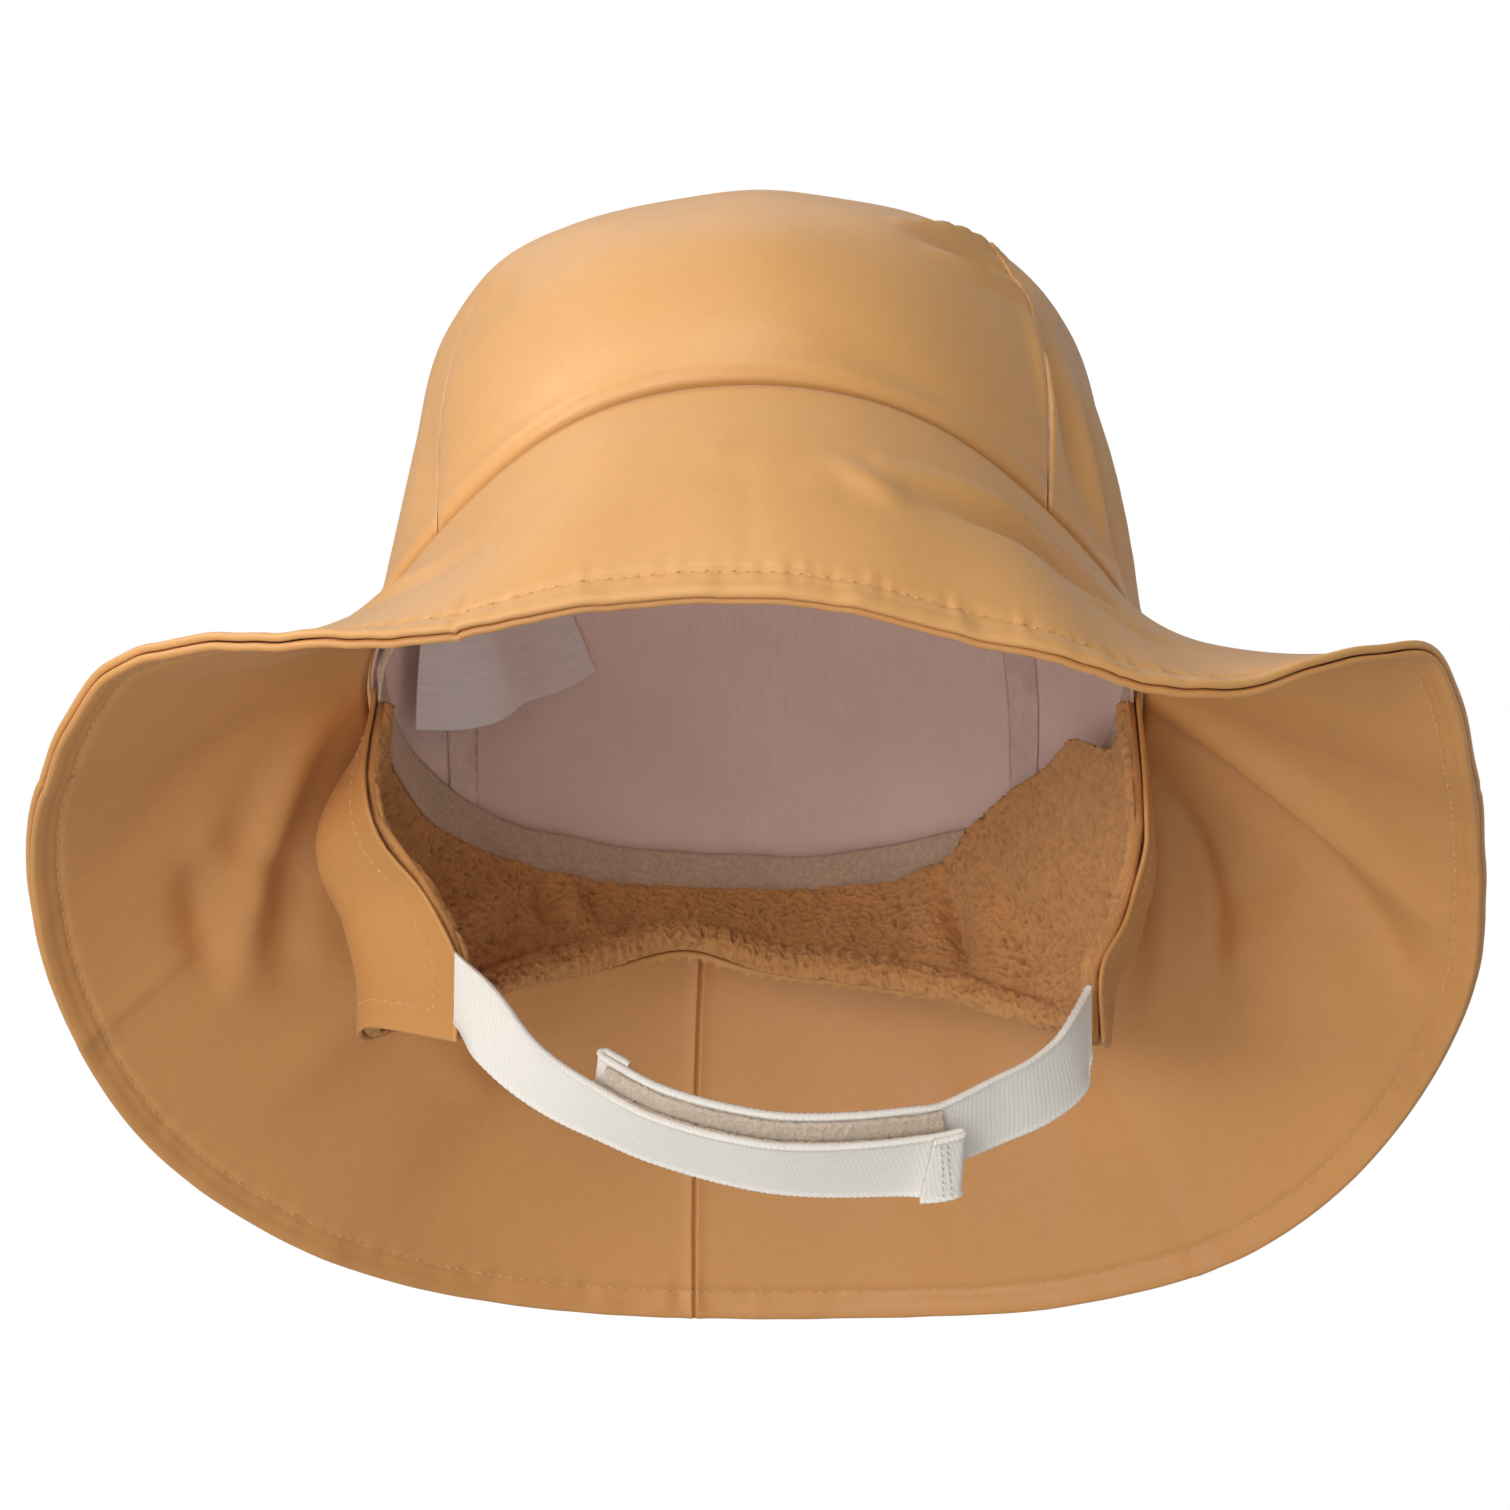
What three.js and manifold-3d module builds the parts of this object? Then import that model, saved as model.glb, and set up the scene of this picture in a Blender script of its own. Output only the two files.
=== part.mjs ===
// A child's rain hat in coated cloth, as the real one is sewn: a crown of three panels, a wide brim of two
// plies, a band of ear flaps and neck guard lined with fleece, a tape over the seam inside, and an elastic
// chin strap in two halves that a hook-and-loop closure joins.
//
// Millimetres, +Z up, the front of the hat faces -Y. The origin is the middle of the head opening, at the
// height of the seam between crown and brim. Left is the -X side and right the +X side. Angles run round
// the seam in degrees: 0 is the front, 90 the right side, 180 the back and 270 the left side.

import * as THREE from 'three';
import { LoftGeometry } from 'three/addons/geometries/LoftGeometry.js';
import { mergeVertices } from 'three/addons/utils/BufferGeometryUtils.js';
import Module from 'manifold-3d';

// Head opening, measured on the seam
const HEAD_WIDTH = 164;
const HEAD_FRONT = 88;
const HEAD_BACK = 95;
const SEAM_DIP = 13;

// Crown, brim, flaps and strap
const CROWN_HEIGHT = 89;
const PANEL_WIDTH = 122;
const PANEL_SHIFT = -1.4;
const BRIM_FRONT = 65;
const BRIM_SIDE = 76;
const BRIM_BACK = 98;
const FLAP_DROP = 75;
const FLAP_START = 88;
const TAPE_HEIGHT = 11;
const STRAP_WIDTH = 15;
const STRAP_SAG = 39;
const PATCH_WIDTH = 13;
const LABEL_WIDTH = 23;

// Thickness of each material, and the clearance between pieces that touch
const CLOTH = 1.1;
const TAPE = 0.8;
const FLEECE = 3;
const ELASTIC = 1.2;
const PATCH = 1.2;
const SATIN = 0.5;
const GAP = 0.3;

// How far inside the seam line the middle of each layer lies, from the crown's cloth inwards
const BRIM_INSET = CLOTH / 2;
const FLAP_INSET = BRIM_INSET + CLOTH + GAP / 2 + GAP + CLOTH / 2;
const TAPE_INSET = FLAP_INSET + CLOTH / 2 + GAP + TAPE / 2;

// The opening against an ellipse: fuller back corners and a wider right half. FRONT_LOW is the share of
// SEAM_DIP by which the seam is down at the front, and CROWN_LEAN how far the crown stands to the right
const CROWN_LEAN = 1;
const BACK_FULL = 0.04;
const RIGHT_FULL = 0.015;
const FRONT_LOW = 0.3;

// Crown sections from the top (along 0) to the seam (along 1), as shares of the crown's height and of the
// opening's half width, front reach and back reach. Corner is how full the front corners are
const CROWN_RINGS = [
  { along: 0, height: 1, width: 0, front: 0, back: 0, corner: 0 },
  { along: 0.125, height: 0.99, width: 0.28, front: 0.19, back: 0.2, corner: 0.03 },
  { along: 0.25, height: 0.96, width: 0.515, front: 0.36, back: 0.4, corner: 0.06 },
  { along: 0.375, height: 0.876, width: 0.74, front: 0.58, back: 0.63, corner: 0.07 },
  { along: 0.5, height: 0.71, width: 0.855, front: 0.76, back: 0.79, corner: 0.05 },
  { along: 0.65, height: 0.45, width: 0.905, front: 0.95, back: 0.926, corner: 0 },
  { along: 0.85, height: 0.14, width: 0.965, front: 1.03, back: 1, corner: -0.06 },
  { along: 1, height: 0, width: 1, front: 1, back: 1, corner: -0.09 },
];

// Half width of the middle panel from the seam up, as shares of PANEL_WIDTH / 2 and CROWN_HEIGHT
const PANEL_SEAM = [
  { height: -0.3, width: 1 },
  { height: 0.45, width: 1 },
  { height: 0.73, width: 0.87 },
  { height: 0.95, width: 0.62 },
  { height: 1.1, width: 0.36 },
];

// Brim sections round the seam: the plan angle in which the cloth runs out, its length as a share of the
// brim's length there, and its slope in degrees below level at the seam and at the edge
const BRIM_SECTIONS = [
  { angle: 0, aim: 0, length: 1, atSeam: 64, atEdge: 88 },
  { angle: 20, aim: 13, length: 1, atSeam: 64, atEdge: 86 },
  { angle: 30, aim: 22, length: 1, atSeam: 62, atEdge: 82 },
  { angle: 40, aim: 28, length: 1, atSeam: 62, atEdge: 72 },
  { angle: 50, aim: 33, length: 1, atSeam: 65, atEdge: 58 },
  { angle: 60, aim: 38, length: 1, atSeam: 66, atEdge: 39 },
  { angle: 67, aim: 45, length: 1, atSeam: 61, atEdge: 20 },
  { angle: 72, aim: 50, length: 1, atSeam: 52, atEdge: 14 },
  { angle: 76, aim: 55, length: 1, atSeam: 42, atEdge: 13 },
  { angle: 80, aim: 62, length: 0.99, atSeam: 36, atEdge: 19 },
  { angle: 85, aim: 74, length: 0.98, atSeam: 33, atEdge: 26 },
  { angle: 90, aim: 86, length: 0.985, atSeam: 25, atEdge: 32 },
  { angle: 97, aim: 97, length: 1.04, atSeam: 24, atEdge: 34 },
  { angle: 105, aim: 106, length: 1.11, atSeam: 25, atEdge: 35 },
  { angle: 120, aim: 122, length: 1.175, atSeam: 34, atEdge: 40 },
  { angle: 135, aim: 136, length: 1.175, atSeam: 42, atEdge: 44 },
  { angle: 150, aim: 150, length: 1.105, atSeam: 48, atEdge: 44 },
  { angle: 165, aim: 165, length: 1.035, atSeam: 49, atEdge: 43 },
  { angle: 180, aim: 180, length: 1.005, atSeam: 50, atEdge: 42 },
  { angle: 195, aim: 195, length: 1.025, atSeam: 49, atEdge: 43 },
  { angle: 210, aim: 210, length: 1.07, atSeam: 48, atEdge: 44 },
  { angle: 225, aim: 224, length: 1.11, atSeam: 46, atEdge: 42 },
  { angle: 240, aim: 238, length: 1.13, atSeam: 40, atEdge: 36 },
  { angle: 255, aim: 253, length: 1.085, atSeam: 31, atEdge: 33 },
  { angle: 263, aim: 264, length: 1.04, atSeam: 29, atEdge: 33 },
  { angle: 270, aim: 277, length: 1, atSeam: 29, atEdge: 33 },
  { angle: 275, aim: 288, length: 0.99, atSeam: 33, atEdge: 32 },
  { angle: 280, aim: 300, length: 1, atSeam: 37, atEdge: 29 },
  { angle: 285, aim: 306, length: 1, atSeam: 42, atEdge: 24 },
  { angle: 290, aim: 311, length: 1, atSeam: 53, atEdge: 18 },
  { angle: 296, aim: 315, length: 1, atSeam: 61, atEdge: 20 },
  { angle: 304, aim: 320, length: 1, atSeam: 67, atEdge: 30 },
  { angle: 312, aim: 324, length: 1, atSeam: 68, atEdge: 41 },
  { angle: 320, aim: 327, length: 1, atSeam: 67, atEdge: 56 },
  { angle: 330, aim: 331, length: 1, atSeam: 65, atEdge: 70 },
  { angle: 340, aim: 339, length: 1, atSeam: 61, atEdge: 82 },
  { angle: 360, aim: 360, length: 1, atSeam: 64, atEdge: 88 },
];

// Flap band from the right flap's front edge round the back to the left one's: how far it drops, how far
// its hem stands out from the seam and how far it bulges half way down, as shares of FLAP_DROP
const FLAP_SECTIONS = [
  { angle: 88, drop: 1, flare: 0, bulge: 0 },
  { angle: 100, drop: 0.9, flare: 0.01, bulge: 0.05 },
  { angle: 115, drop: 0.8, flare: 0, bulge: 0.06 },
  { angle: 130, drop: 0.66, flare: 0, bulge: 0.05 },
  { angle: 140, drop: 0.56, flare: -0.05, bulge: 0.03 },
  { angle: 150, drop: 0.48, flare: -0.085, bulge: 0.02 },
  { angle: 160, drop: 0.43, flare: -0.11, bulge: 0.01 },
  { angle: 180, drop: 0.36, flare: -0.12, bulge: 0 },
  { angle: 192, drop: 0.31, flare: -0.12, bulge: 0 },
  { angle: 204, drop: 0.37, flare: -0.1, bulge: 0.01 },
  { angle: 212, drop: 0.42, flare: -0.08, bulge: 0.02 },
  { angle: 220, drop: 0.48, flare: -0.05, bulge: 0.03 },
  { angle: 232, drop: 0.62, flare: 0, bulge: 0.06 },
  { angle: 245, drop: 0.76, flare: 0.15, bulge: 0.12 },
  { angle: 260, drop: 0.82, flare: 0.2, bulge: 0.13 },
  { angle: 272, drop: 1, flare: 0, bulge: 0 },
];

// The flap's front edge, going down: how far it is cut back, and how far the strap pulls it in on either
// side, as shares of FLAP_DROP. It fades out over FLAP_PULL degrees of the band
const FLAP_PULL = 38;
const FLAP_EDGE = [
  { down: 0, back: 0, left: 0, right: 0 },
  { down: 0.4, back: 0, left: 0, right: 0 },
  { down: 0.48, back: 0.06, left: 0.04, right: 0 },
  { down: 0.58, back: 0.12, left: 0.14, right: 0.03 },
  { down: 0.68, back: 0.14, left: 0.2, right: 0.06 },
  { down: 0.8, back: 0.16, left: 0.25, right: 0.12 },
  { down: 1, back: 0.23, left: 0.25, right: 0.12 },
];

// The elastic in the band's hem gathers the cloth round the back. Their height is a share of FLEECE
const GATHERS = { first: 140, last: 220, count: 15, height: 0.3, reach: 0.45 };

// Soft dents of the cloth: where they are, how deep as shares of DENT_DEPTH, and how far they spread
const DENT_DEPTH = 1.6;
const CROWN_DENTS = [
  { angle: 318, along: 0.52, depth: 1, around: 16, across: 0.1 },
  { angle: 62, along: 0.42, depth: 0.95, around: 9, across: 0.05 },
  { angle: 70, along: 0.56, depth: 0.8, around: 9, across: 0.06 },
  { angle: 30, along: 0.9, depth: 0.5, around: 30, across: 0.05 },
];
const BRIM_DENTS = [
  { angle: 42, along: 0.35, depth: 1.1, around: 15, across: 0.2 },
  { angle: 322, along: 0.5, depth: 0.75, around: 14, across: 0.25 },
  { angle: 120, along: 0.6, depth: 0.75, around: 12, across: 0.3 },
  { angle: 236, along: 0.6, depth: 0.95, around: 12, across: 0.3 },
];

// Where the sections and rows of the cloth lie: close together where it turns most. The brim's spans run
// round the seam, and the rows run down each piece
const BRIM_SPANS = [
  { from: 0, to: 50, count: 7 },
  { from: 54, to: 90, count: 12 },
  { from: 98, to: 262, count: 20 },
  { from: 270, to: 306, count: 12 },
  { from: 310, to: 360, count: 7 },
];
const RING_COUNT = 48;
const CROWN_ROWS = [0, 0.1, 0.2, 0.3, 0.38, 0.46, 0.56, 0.7, 0.86, 1];
const BRIM_ROWS = [0, 0.18, 0.36, 0.54, 0.78, 1];
const FLAP_ROWS = [0.25, 0.45, 0.65, 0.85, 1];

// The chin strap's route from the left flap to the right one, chosen by eye: across is a share of half the
// opening's width, forward a share of the strap's width, fall a share of STRAP_SAG below the sewn end and
// tilt how many degrees the strap's width leans down towards the back
const STRAP_ROUTE = [
  { along: 0, across: -0.735, forward: 0.6, fall: 0.015, tilt: 66 },
  { along: 0.11, across: -0.579, forward: 0.8, fall: 0.365, tilt: 34 },
  { along: 0.24, across: -0.373, forward: 0.77, fall: 0.645, tilt: 14 },
  { along: 0.325, across: -0.233, forward: 0.79, fall: 0.805, tilt: 7 },
  { along: 0.464, across: 0.017, forward: 0.77, fall: 0.972, tilt: 8 },
  { along: 0.53, across: 0.139, forward: 0.77, fall: 1, tilt: 10 },
  { along: 0.658, across: 0.383, forward: 0.77, fall: 0.98, tilt: 17 },
  { along: 0.714, across: 0.487, forward: 0.77, fall: 0.954, tilt: 25 },
  { along: 0.805, across: 0.64, forward: 0.73, fall: 0.764, tilt: 37 },
  { along: 0.856, across: 0.716, forward: 0.73, fall: 0.638, tilt: 43 },
  { along: 0.913, across: 0.787, forward: 0.75, fall: 0.463, tilt: 50 },
  { along: 1, across: 0.84, forward: 0.77, fall: 0.18, tilt: 62 },
];

// Where each half of the strap ends on the route, how far the halves lie apart, and over how much of the
// route the strap turns from the flap's edge, in which it is sewn askew, to lie square
const LEFT_END = 0.722;
const RIGHT_END = 0.235;
const STACK = ELASTIC + 2 * PATCH + 3 * GAP;
const STAGGER = 4;
const SEWN_SKEW = 0.1;

// The care label hangs from the left panel seam inside the crown: its route, as places on the crown's
// inner face and the share of the seam's reach by which it stands off
const LABEL_ROUTE = [
  { along: 0, angle: 214, level: 0.57, off: 0.004 },
  { along: 0.25, angle: 223, level: 0.63, off: 0.03 },
  { along: 0.5, angle: 236, level: 0.71, off: 0.07 },
  { along: 0.62, angle: 242, level: 0.76, off: 0.08 },
  { along: 1, angle: 257, level: 0.84, off: 0.02 },
];

const COLOURS = {
  crown: { color: 0xe0aa6e, roughness: 0.55 },
  brim: { color: 0xdea96d, roughness: 0.55 },
  underBrim: { color: 0xc08f5e, roughness: 0.6 },
  tape: { color: 0xa89070, roughness: 0.85 },
  flap: { color: 0xcd935a, roughness: 0.6 },
  fleece: { color: 0xbd7f4b, roughness: 1 },
  elastic: { color: 0xf0e9de, roughness: 0.9 },
  hookAndLoop: { color: 0xd6bb9e, roughness: 0.95 },
  label: { color: 0xe8dedd, roughness: 0.5 },
};

const UP = new THREE.Vector3(0, 0, 1);
const { degToRad } = THREE.MathUtils;

// The value of a column at a place between the rows of a table, on a smooth curve through the rows
function read(rows, place, column, key = 'along') {
  const last = rows.length - 2;
  const found = rows.findIndex((row, i) => i <= last && place <= rows[i + 1][key]);
  const i = found < 0 ? last : found;
  const slope = (k) => (rows[k + 1][column] - rows[k][column]) / (rows[k + 1][key] - rows[k][key]);
  const start = (slope(Math.max(i - 1, 0)) + slope(i)) / 2;
  const end = (slope(i) + slope(Math.min(i + 1, last))) / 2;
  const span = rows[i + 1][key] - rows[i][key];
  const u = (place - rows[i][key]) / span;
  const rise = u * u * (3 - 2 * u);
  return rows[i][column] * (1 - rise) + rows[i + 1][column] * rise
    + span * (start * u * (1 - u) ** 2 - end * u * u * (1 - u));
}

// How deep the dents of a table are at a place of the cloth
function dentDepth(dents, degrees, along) {
  let depth = 0;
  for (const dent of dents) {
    const turn = THREE.MathUtils.euclideanModulo(degrees - dent.angle + 180, 360) - 180;
    depth += dent.depth * Math.exp(-((turn / dent.around) ** 2) - ((along - dent.along) / dent.across) ** 2);
  }
  return DENT_DEPTH * depth;
}

// The direction straight out from the hat's middle line at a plan angle
function outward(degrees) {
  const angle = degToRad(degrees);
  return new THREE.Vector3(Math.sin(angle), -Math.cos(angle), 0);
}

// A point on a ring round the head, with shares of the opening's half width, front reach and back reach
function ringPoint(degrees, { width, front, back, corner }) {
  const [facing, sideways] = [Math.cos(degToRad(degrees)), Math.sin(degToRad(degrees))];
  const reach = facing > 0 ? HEAD_FRONT * front : HEAD_BACK * back;
  const full = (facing > 0 ? corner : BACK_FULL) * (2 * facing * sideways) ** 2;
  const x = (HEAD_WIDTH / 2) * width * sideways * (1 + full + RIGHT_FULL * sideways);
  return new THREE.Vector3(x, -reach * facing, 0);
}

// How far the seam line lies below the origin
function seamDrop(degrees) {
  const facing = Math.cos(degToRad(degrees));
  return SEAM_DIP * (1 - facing ** 2 + (facing > 0 ? FRONT_LOW * facing ** 2 : 0));
}

// A point of the seam line, moved inwards by an inset
function seamPoint(degrees, inset = 0) {
  const whole = CROWN_RINGS.at(-1);
  const step = 0.5;
  const run = ringPoint(degrees + step, whole).sub(ringPoint(degrees - step, whole)).normalize();
  const inwards = new THREE.Vector3().crossVectors(UP, run);
  const point = ringPoint(degrees, whole).addScaledVector(inwards, inset);
  point.z = -seamDrop(degrees);
  return point;
}

// The crown's outer face, from the top (along 0) to the seam (along 1)
function crownPoint(degrees, along) {
  const share = Object.fromEntries(
    ['height', 'width', 'front', 'back', 'corner'].map((column) => [column, read(CROWN_RINGS, along, column)]),
  );
  const point = ringPoint(degrees, share);
  point.x += CROWN_LEAN * (1 - (1 - share.height) ** 3);
  point.z = CROWN_HEIGHT * share.height - seamDrop(degrees) * (1 - share.height) ** 2;
  const inwards = outward(degrees).multiplyScalar(-dentDepth(CROWN_DENTS, degrees, along));
  return point.add(inwards);
}

// The surface between the brim's two plies, from the seam (along 0) to the edge (along 1). Its slope grows
// evenly, so each section is an arc
function brimPoint(degrees, along) {
  const turn = THREE.MathUtils.euclideanModulo(degrees, 360);
  const column = (name) => read(BRIM_SECTIONS, turn, name, 'angle');
  const facing = Math.cos(degToRad(turn));
  const size = facing > 0
    ? THREE.MathUtils.lerp(BRIM_SIDE, BRIM_FRONT, facing ** 2)
    : THREE.MathUtils.lerp(BRIM_SIDE, BRIM_BACK, facing ** 2);
  const first = degToRad(column('atSeam'));
  const last = degToRad(column('atEdge'));
  const bend = Math.abs(last - first) > 0.01 ? last - first : 0.01;
  const here = first + bend * along;
  const length = size * column('length');
  const out = (length * (Math.sin(here) - Math.sin(first))) / bend;
  const down = (length * (Math.cos(first) - Math.cos(here))) / bend;
  const dent = dentDepth(BRIM_DENTS, turn, along);
  const point = seamPoint(turn, BRIM_INSET);
  point.addScaledVector(outward(column('aim')), out - dent * Math.sin(here));
  point.z -= down + dent * Math.cos(here) + GAP + (CLOTH + GAP / 2) * Math.cos(first);
  return point;
}

// The middle of the flap band's outer cloth, from the seam (along 0) to the hem (along 1)
function flapPoint(degrees, along) {
  const side = degrees > 180 ? -1 : 1;
  const fromFront = 180 - Math.abs(degrees - 180);
  const column = (name) => read(FLAP_SECTIONS, degrees, name, 'angle');
  const spread = FLAP_DROP * (column('flare') * along ** 2 + column('bulge') * Math.sin(Math.PI * along));
  const point = seamPoint(degrees, FLAP_INSET - spread);
  const fade = Math.min((fromFront - FLAP_START) / FLAP_PULL, 1);
  const pull = FLAP_DROP * (1 - fade) ** 2 * (1 + 2 * fade);
  point.x -= side * pull * read(FLAP_EDGE, along, side > 0 ? 'right' : 'left', 'down');
  point.y += pull * read(FLAP_EDGE, along, 'back', 'down');
  point.z -= FLAP_DROP * column('drop') * along + 2 * GAP + 2 * CLOTH;
  return point;
}

// How much the gathers of the hem add to the band's face
function gatherHeight(degrees, along) {
  const { first, last, count, height, reach } = GATHERS;
  const turn = (degrees - first) / (last - first);
  if (turn <= 0 || turn >= 1 || along < reach) return 0;
  const rise = (along - reach) / (1 - reach);
  const fold = 0.5 - 0.5 * Math.cos(2 * Math.PI * count * turn);
  return FLEECE * height * rise * Math.sin(Math.PI * turn) ** 0.5 * fold;
}

// The direction straight out of a surface that runs down or outwards as along grows
function faceNormal(surface, degrees, along, first = -Infinity, last = Infinity) {
  const step = 0.01;
  const down = surface(degrees, Math.min(along + step, 1)).sub(surface(degrees, Math.max(along - step, 0)));
  const round = surface(Math.min(degrees + 1, last), along).sub(surface(Math.max(degrees - 1, first), along));
  if (round.length() < step) return UP.clone();
  return down.cross(round).normalize();
}

function spaced(first, last, count) {
  return Array.from({ length: count + 1 }, (_, i) => THREE.MathUtils.lerp(first, last, i / count));
}

// A closed wall of cloth along a surface, lofted through sections that run down its outer face and back up
// its inner face. The faces lie at their own distance from the surface, which may change from place to place
function clothWall(surface, { angles, rows, outer, inner }) {
  const ring = angles.at(-1) - angles[0] === 360;
  const ends = ring ? [] : [angles[0], angles.at(-1)];
  const sections = angles.map((degrees) => {
    const face = (distance) => rows(degrees).map((along) => {
      const away = faceNormal(surface, degrees, along, ...ends).multiplyScalar(distance(degrees, along));
      return surface(degrees, along).add(away);
    });
    return [...face(outer), ...face(inner).reverse()];
  });
  if (ring) sections[sections.length - 1] = sections[0];
  return new LoftGeometry(sections, { closed: true, capStart: !ring, capEnd: !ring });
}

// Cuts the four-sided patches of a wall of cloth along their other diagonal, so that two plies which lie
// face to face are cut alike
function turnDiagonals(wall) {
  const index = wall.index.array;
  const { sections } = wall.parameters;
  const patches = (sections.length - 1) * sections[0].length;
  for (let i = 0; i < 6 * patches; i += 6) {
    const [a, b, d, , c] = index.slice(i, i + 6);
    index.set([a, b, c, a, c, d], i);
  }
  return wall;
}

// A closed band along a route, lofted through rectangles: low and high are its faces' distances from the
// route along the band's own normal
function band(route, { from, to, count, width, low, high }) {
  const sections = spaced(from, to, count).map((along) => {
    const { centre, across, normal } = route(along);
    const corner = (side, height) => centre.clone()
      .addScaledVector(across, (side * width) / 2)
      .addScaledVector(normal, height);
    return [corner(-1, low), corner(1, low), corner(1, high), corner(-1, high)];
  });
  return new LoftGeometry(sections, { closed: true, capStart: true, capEnd: true });
}

// Merges the vertices that triangles share and drops the empty triangles where sections meet in a point
function closed(geometry) {
  const plain = new THREE.BufferGeometry();
  plain.setAttribute('position', geometry.getAttribute('position'));
  plain.setIndex(geometry.index);
  const merged = mergeVertices(plain, 1e-4);
  const index = Array.from(merged.index.array);
  const kept = [];
  for (let i = 0; i < index.length; i += 3) {
    const [a, b, c] = index.slice(i, i + 3);
    if (a !== b && b !== c && c !== a) kept.push(a, b, c);
  }
  merged.setIndex(kept);
  return merged;
}

const hat = new THREE.Group();

function addPiece(name, geometry, look) {
  const solid = closed(geometry);
  solid.computeVertexNormals();
  const mesh = new THREE.Mesh(solid, new THREE.MeshStandardMaterial({ ...look, metalness: 0 }));
  mesh.name = name;
  hat.add(mesh);
}

// Crown

const wasm = await Module();
wasm.setup();

function toSolid(geometry) {
  const merged = closed(geometry);
  const vertProperties = new Float32Array(merged.getAttribute('position').array);
  const triVerts = new Uint32Array(merged.index.array);
  return new wasm.Manifold(new wasm.Mesh({ numProp: 3, vertProperties, triVerts }));
}

function toGeometry(solid) {
  const { vertProperties, triVerts } = solid.getMesh();
  const geometry = new THREE.BufferGeometry();
  geometry.setAttribute('position', new THREE.BufferAttribute(vertProperties, 3));
  geometry.setIndex(new THREE.BufferAttribute(triVerts, 1));
  return geometry;
}

// The upright cut between the middle panel and a side panel, as wide as the clearance
function panelCut(side) {
  const heights = spaced(PANEL_SEAM[0].height, PANEL_SEAM.at(-1).height, 11);
  const line = (offset) => heights.map((height) => new THREE.Vector2(
    PANEL_SHIFT + side * ((PANEL_WIDTH / 2) * read(PANEL_SEAM, height, 'width', 'height') + offset),
    CROWN_HEIGHT * height,
  ));
  const shape = new THREE.Shape([...line(GAP / 2), ...line(-GAP / 2).reverse()]);
  const depth = 2 * (HEAD_FRONT + HEAD_BACK);
  const cut = new THREE.ExtrudeGeometry(shape, { depth, bevelEnabled: false });
  return toSolid(cut.translate(0, 0, -depth / 2).rotateX(Math.PI / 2));
}

function addCrown() {
  const shell = clothWall(crownPoint, {
    angles: spaced(0, 360, RING_COUNT),
    rows: () => CROWN_ROWS,
    outer: () => 0,
    inner: () => -CLOTH,
  });
  const panels = toSolid(shell).subtract(panelCut(-1)).subtract(panelCut(1)).decompose();
  const middleOf = (panel) => {
    const box = panel.boundingBox();
    return (box.min[0] + box.max[0]) / 2;
  };
  const [left, centre, right] = panels.sort((a, b) => middleOf(a) - middleOf(b));
  addPiece('crown_centre_panel', toGeometry(centre), COLOURS.crown);
  addPiece('crown_side_panel_left', toGeometry(left), COLOURS.crown);
  addPiece('crown_side_panel_right', toGeometry(right), COLOURS.crown);
}

// Brim

function addBrim() {
  const angles = BRIM_SPANS.flatMap(({ from, to, count }) => spaced(from, to, count));
  const shape = { angles, rows: () => BRIM_ROWS };
  const ply = (near, far) => clothWall(brimPoint, { ...shape, outer: () => far, inner: () => near });
  addPiece('brim_upper', ply(GAP / 2, GAP / 2 + CLOTH), COLOURS.brim);
  addPiece('brim_under', turnDiagonals(ply(-GAP / 2 - CLOTH, -GAP / 2)), COLOURS.underBrim);
}

// Seam tape, a ring that stands over the seam inside the hat

function tapePoint(degrees, along) {
  const point = seamPoint(degrees, TAPE_INSET);
  point.z += TAPE_HEIGHT * (0.5 - along);
  return point;
}

function addTape() {
  addPiece('seam_tape', clothWall(tapePoint, {
    angles: spaced(0, 360, RING_COUNT),
    rows: () => [0, 1],
    outer: () => TAPE / 2,
    inner: () => -TAPE / 2,
  }), COLOURS.tape);
}

// Flap band: the coated cloth outside and the fleece inside, which starts below the tape

function addFlapBand() {
  const side = spaced(FLAP_START, GATHERS.first, 12).slice(0, -1);
  const back = spaced(GATHERS.first, GATHERS.last, 4 * GATHERS.count);
  const angles = [...side, ...back, ...side.map((degrees) => 360 - degrees).reverse()];
  const fleeceTop = (degrees) => {
    const start = -seamDrop(degrees) - TAPE_HEIGHT / 2 - GAP;
    const [top, bottom] = [flapPoint(degrees, 0).z, flapPoint(degrees, 1).z];
    return (top - start) / (top - bottom);
  };
  const lined = (degrees) => [fleeceTop(degrees), ...FLAP_ROWS];
  addPiece('flap_shell', clothWall(flapPoint, {
    angles,
    rows: (degrees) => [0, ...lined(degrees)],
    outer: (degrees, along) => CLOTH / 2 + gatherHeight(degrees, along),
    inner: () => -CLOTH / 2,
  }), COLOURS.flap);
  addPiece('fleece_lining', turnDiagonals(clothWall(flapPoint, {
    angles,
    rows: lined,
    outer: () => -CLOTH / 2 - GAP,
    inner: (degrees, along) => -CLOTH / 2 - GAP - FLEECE - gatherHeight(degrees, along),
  })), COLOURS.fleece);
}

// Chin strap: one route from flap to flap, and two halves that part from it where they lie on each other

function routePoint(along) {
  const column = (name) => read(STRAP_ROUTE, along, name);
  const sewnLevel = -SEAM_DIP - FLAP_DROP + STRAP_WIDTH / 2;
  return new THREE.Vector3(
    (HEAD_WIDTH / 2) * column('across'),
    STRAP_WIDTH * column('forward'),
    sewnLevel - STRAP_SAG * column('fall'),
  );
}

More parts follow.
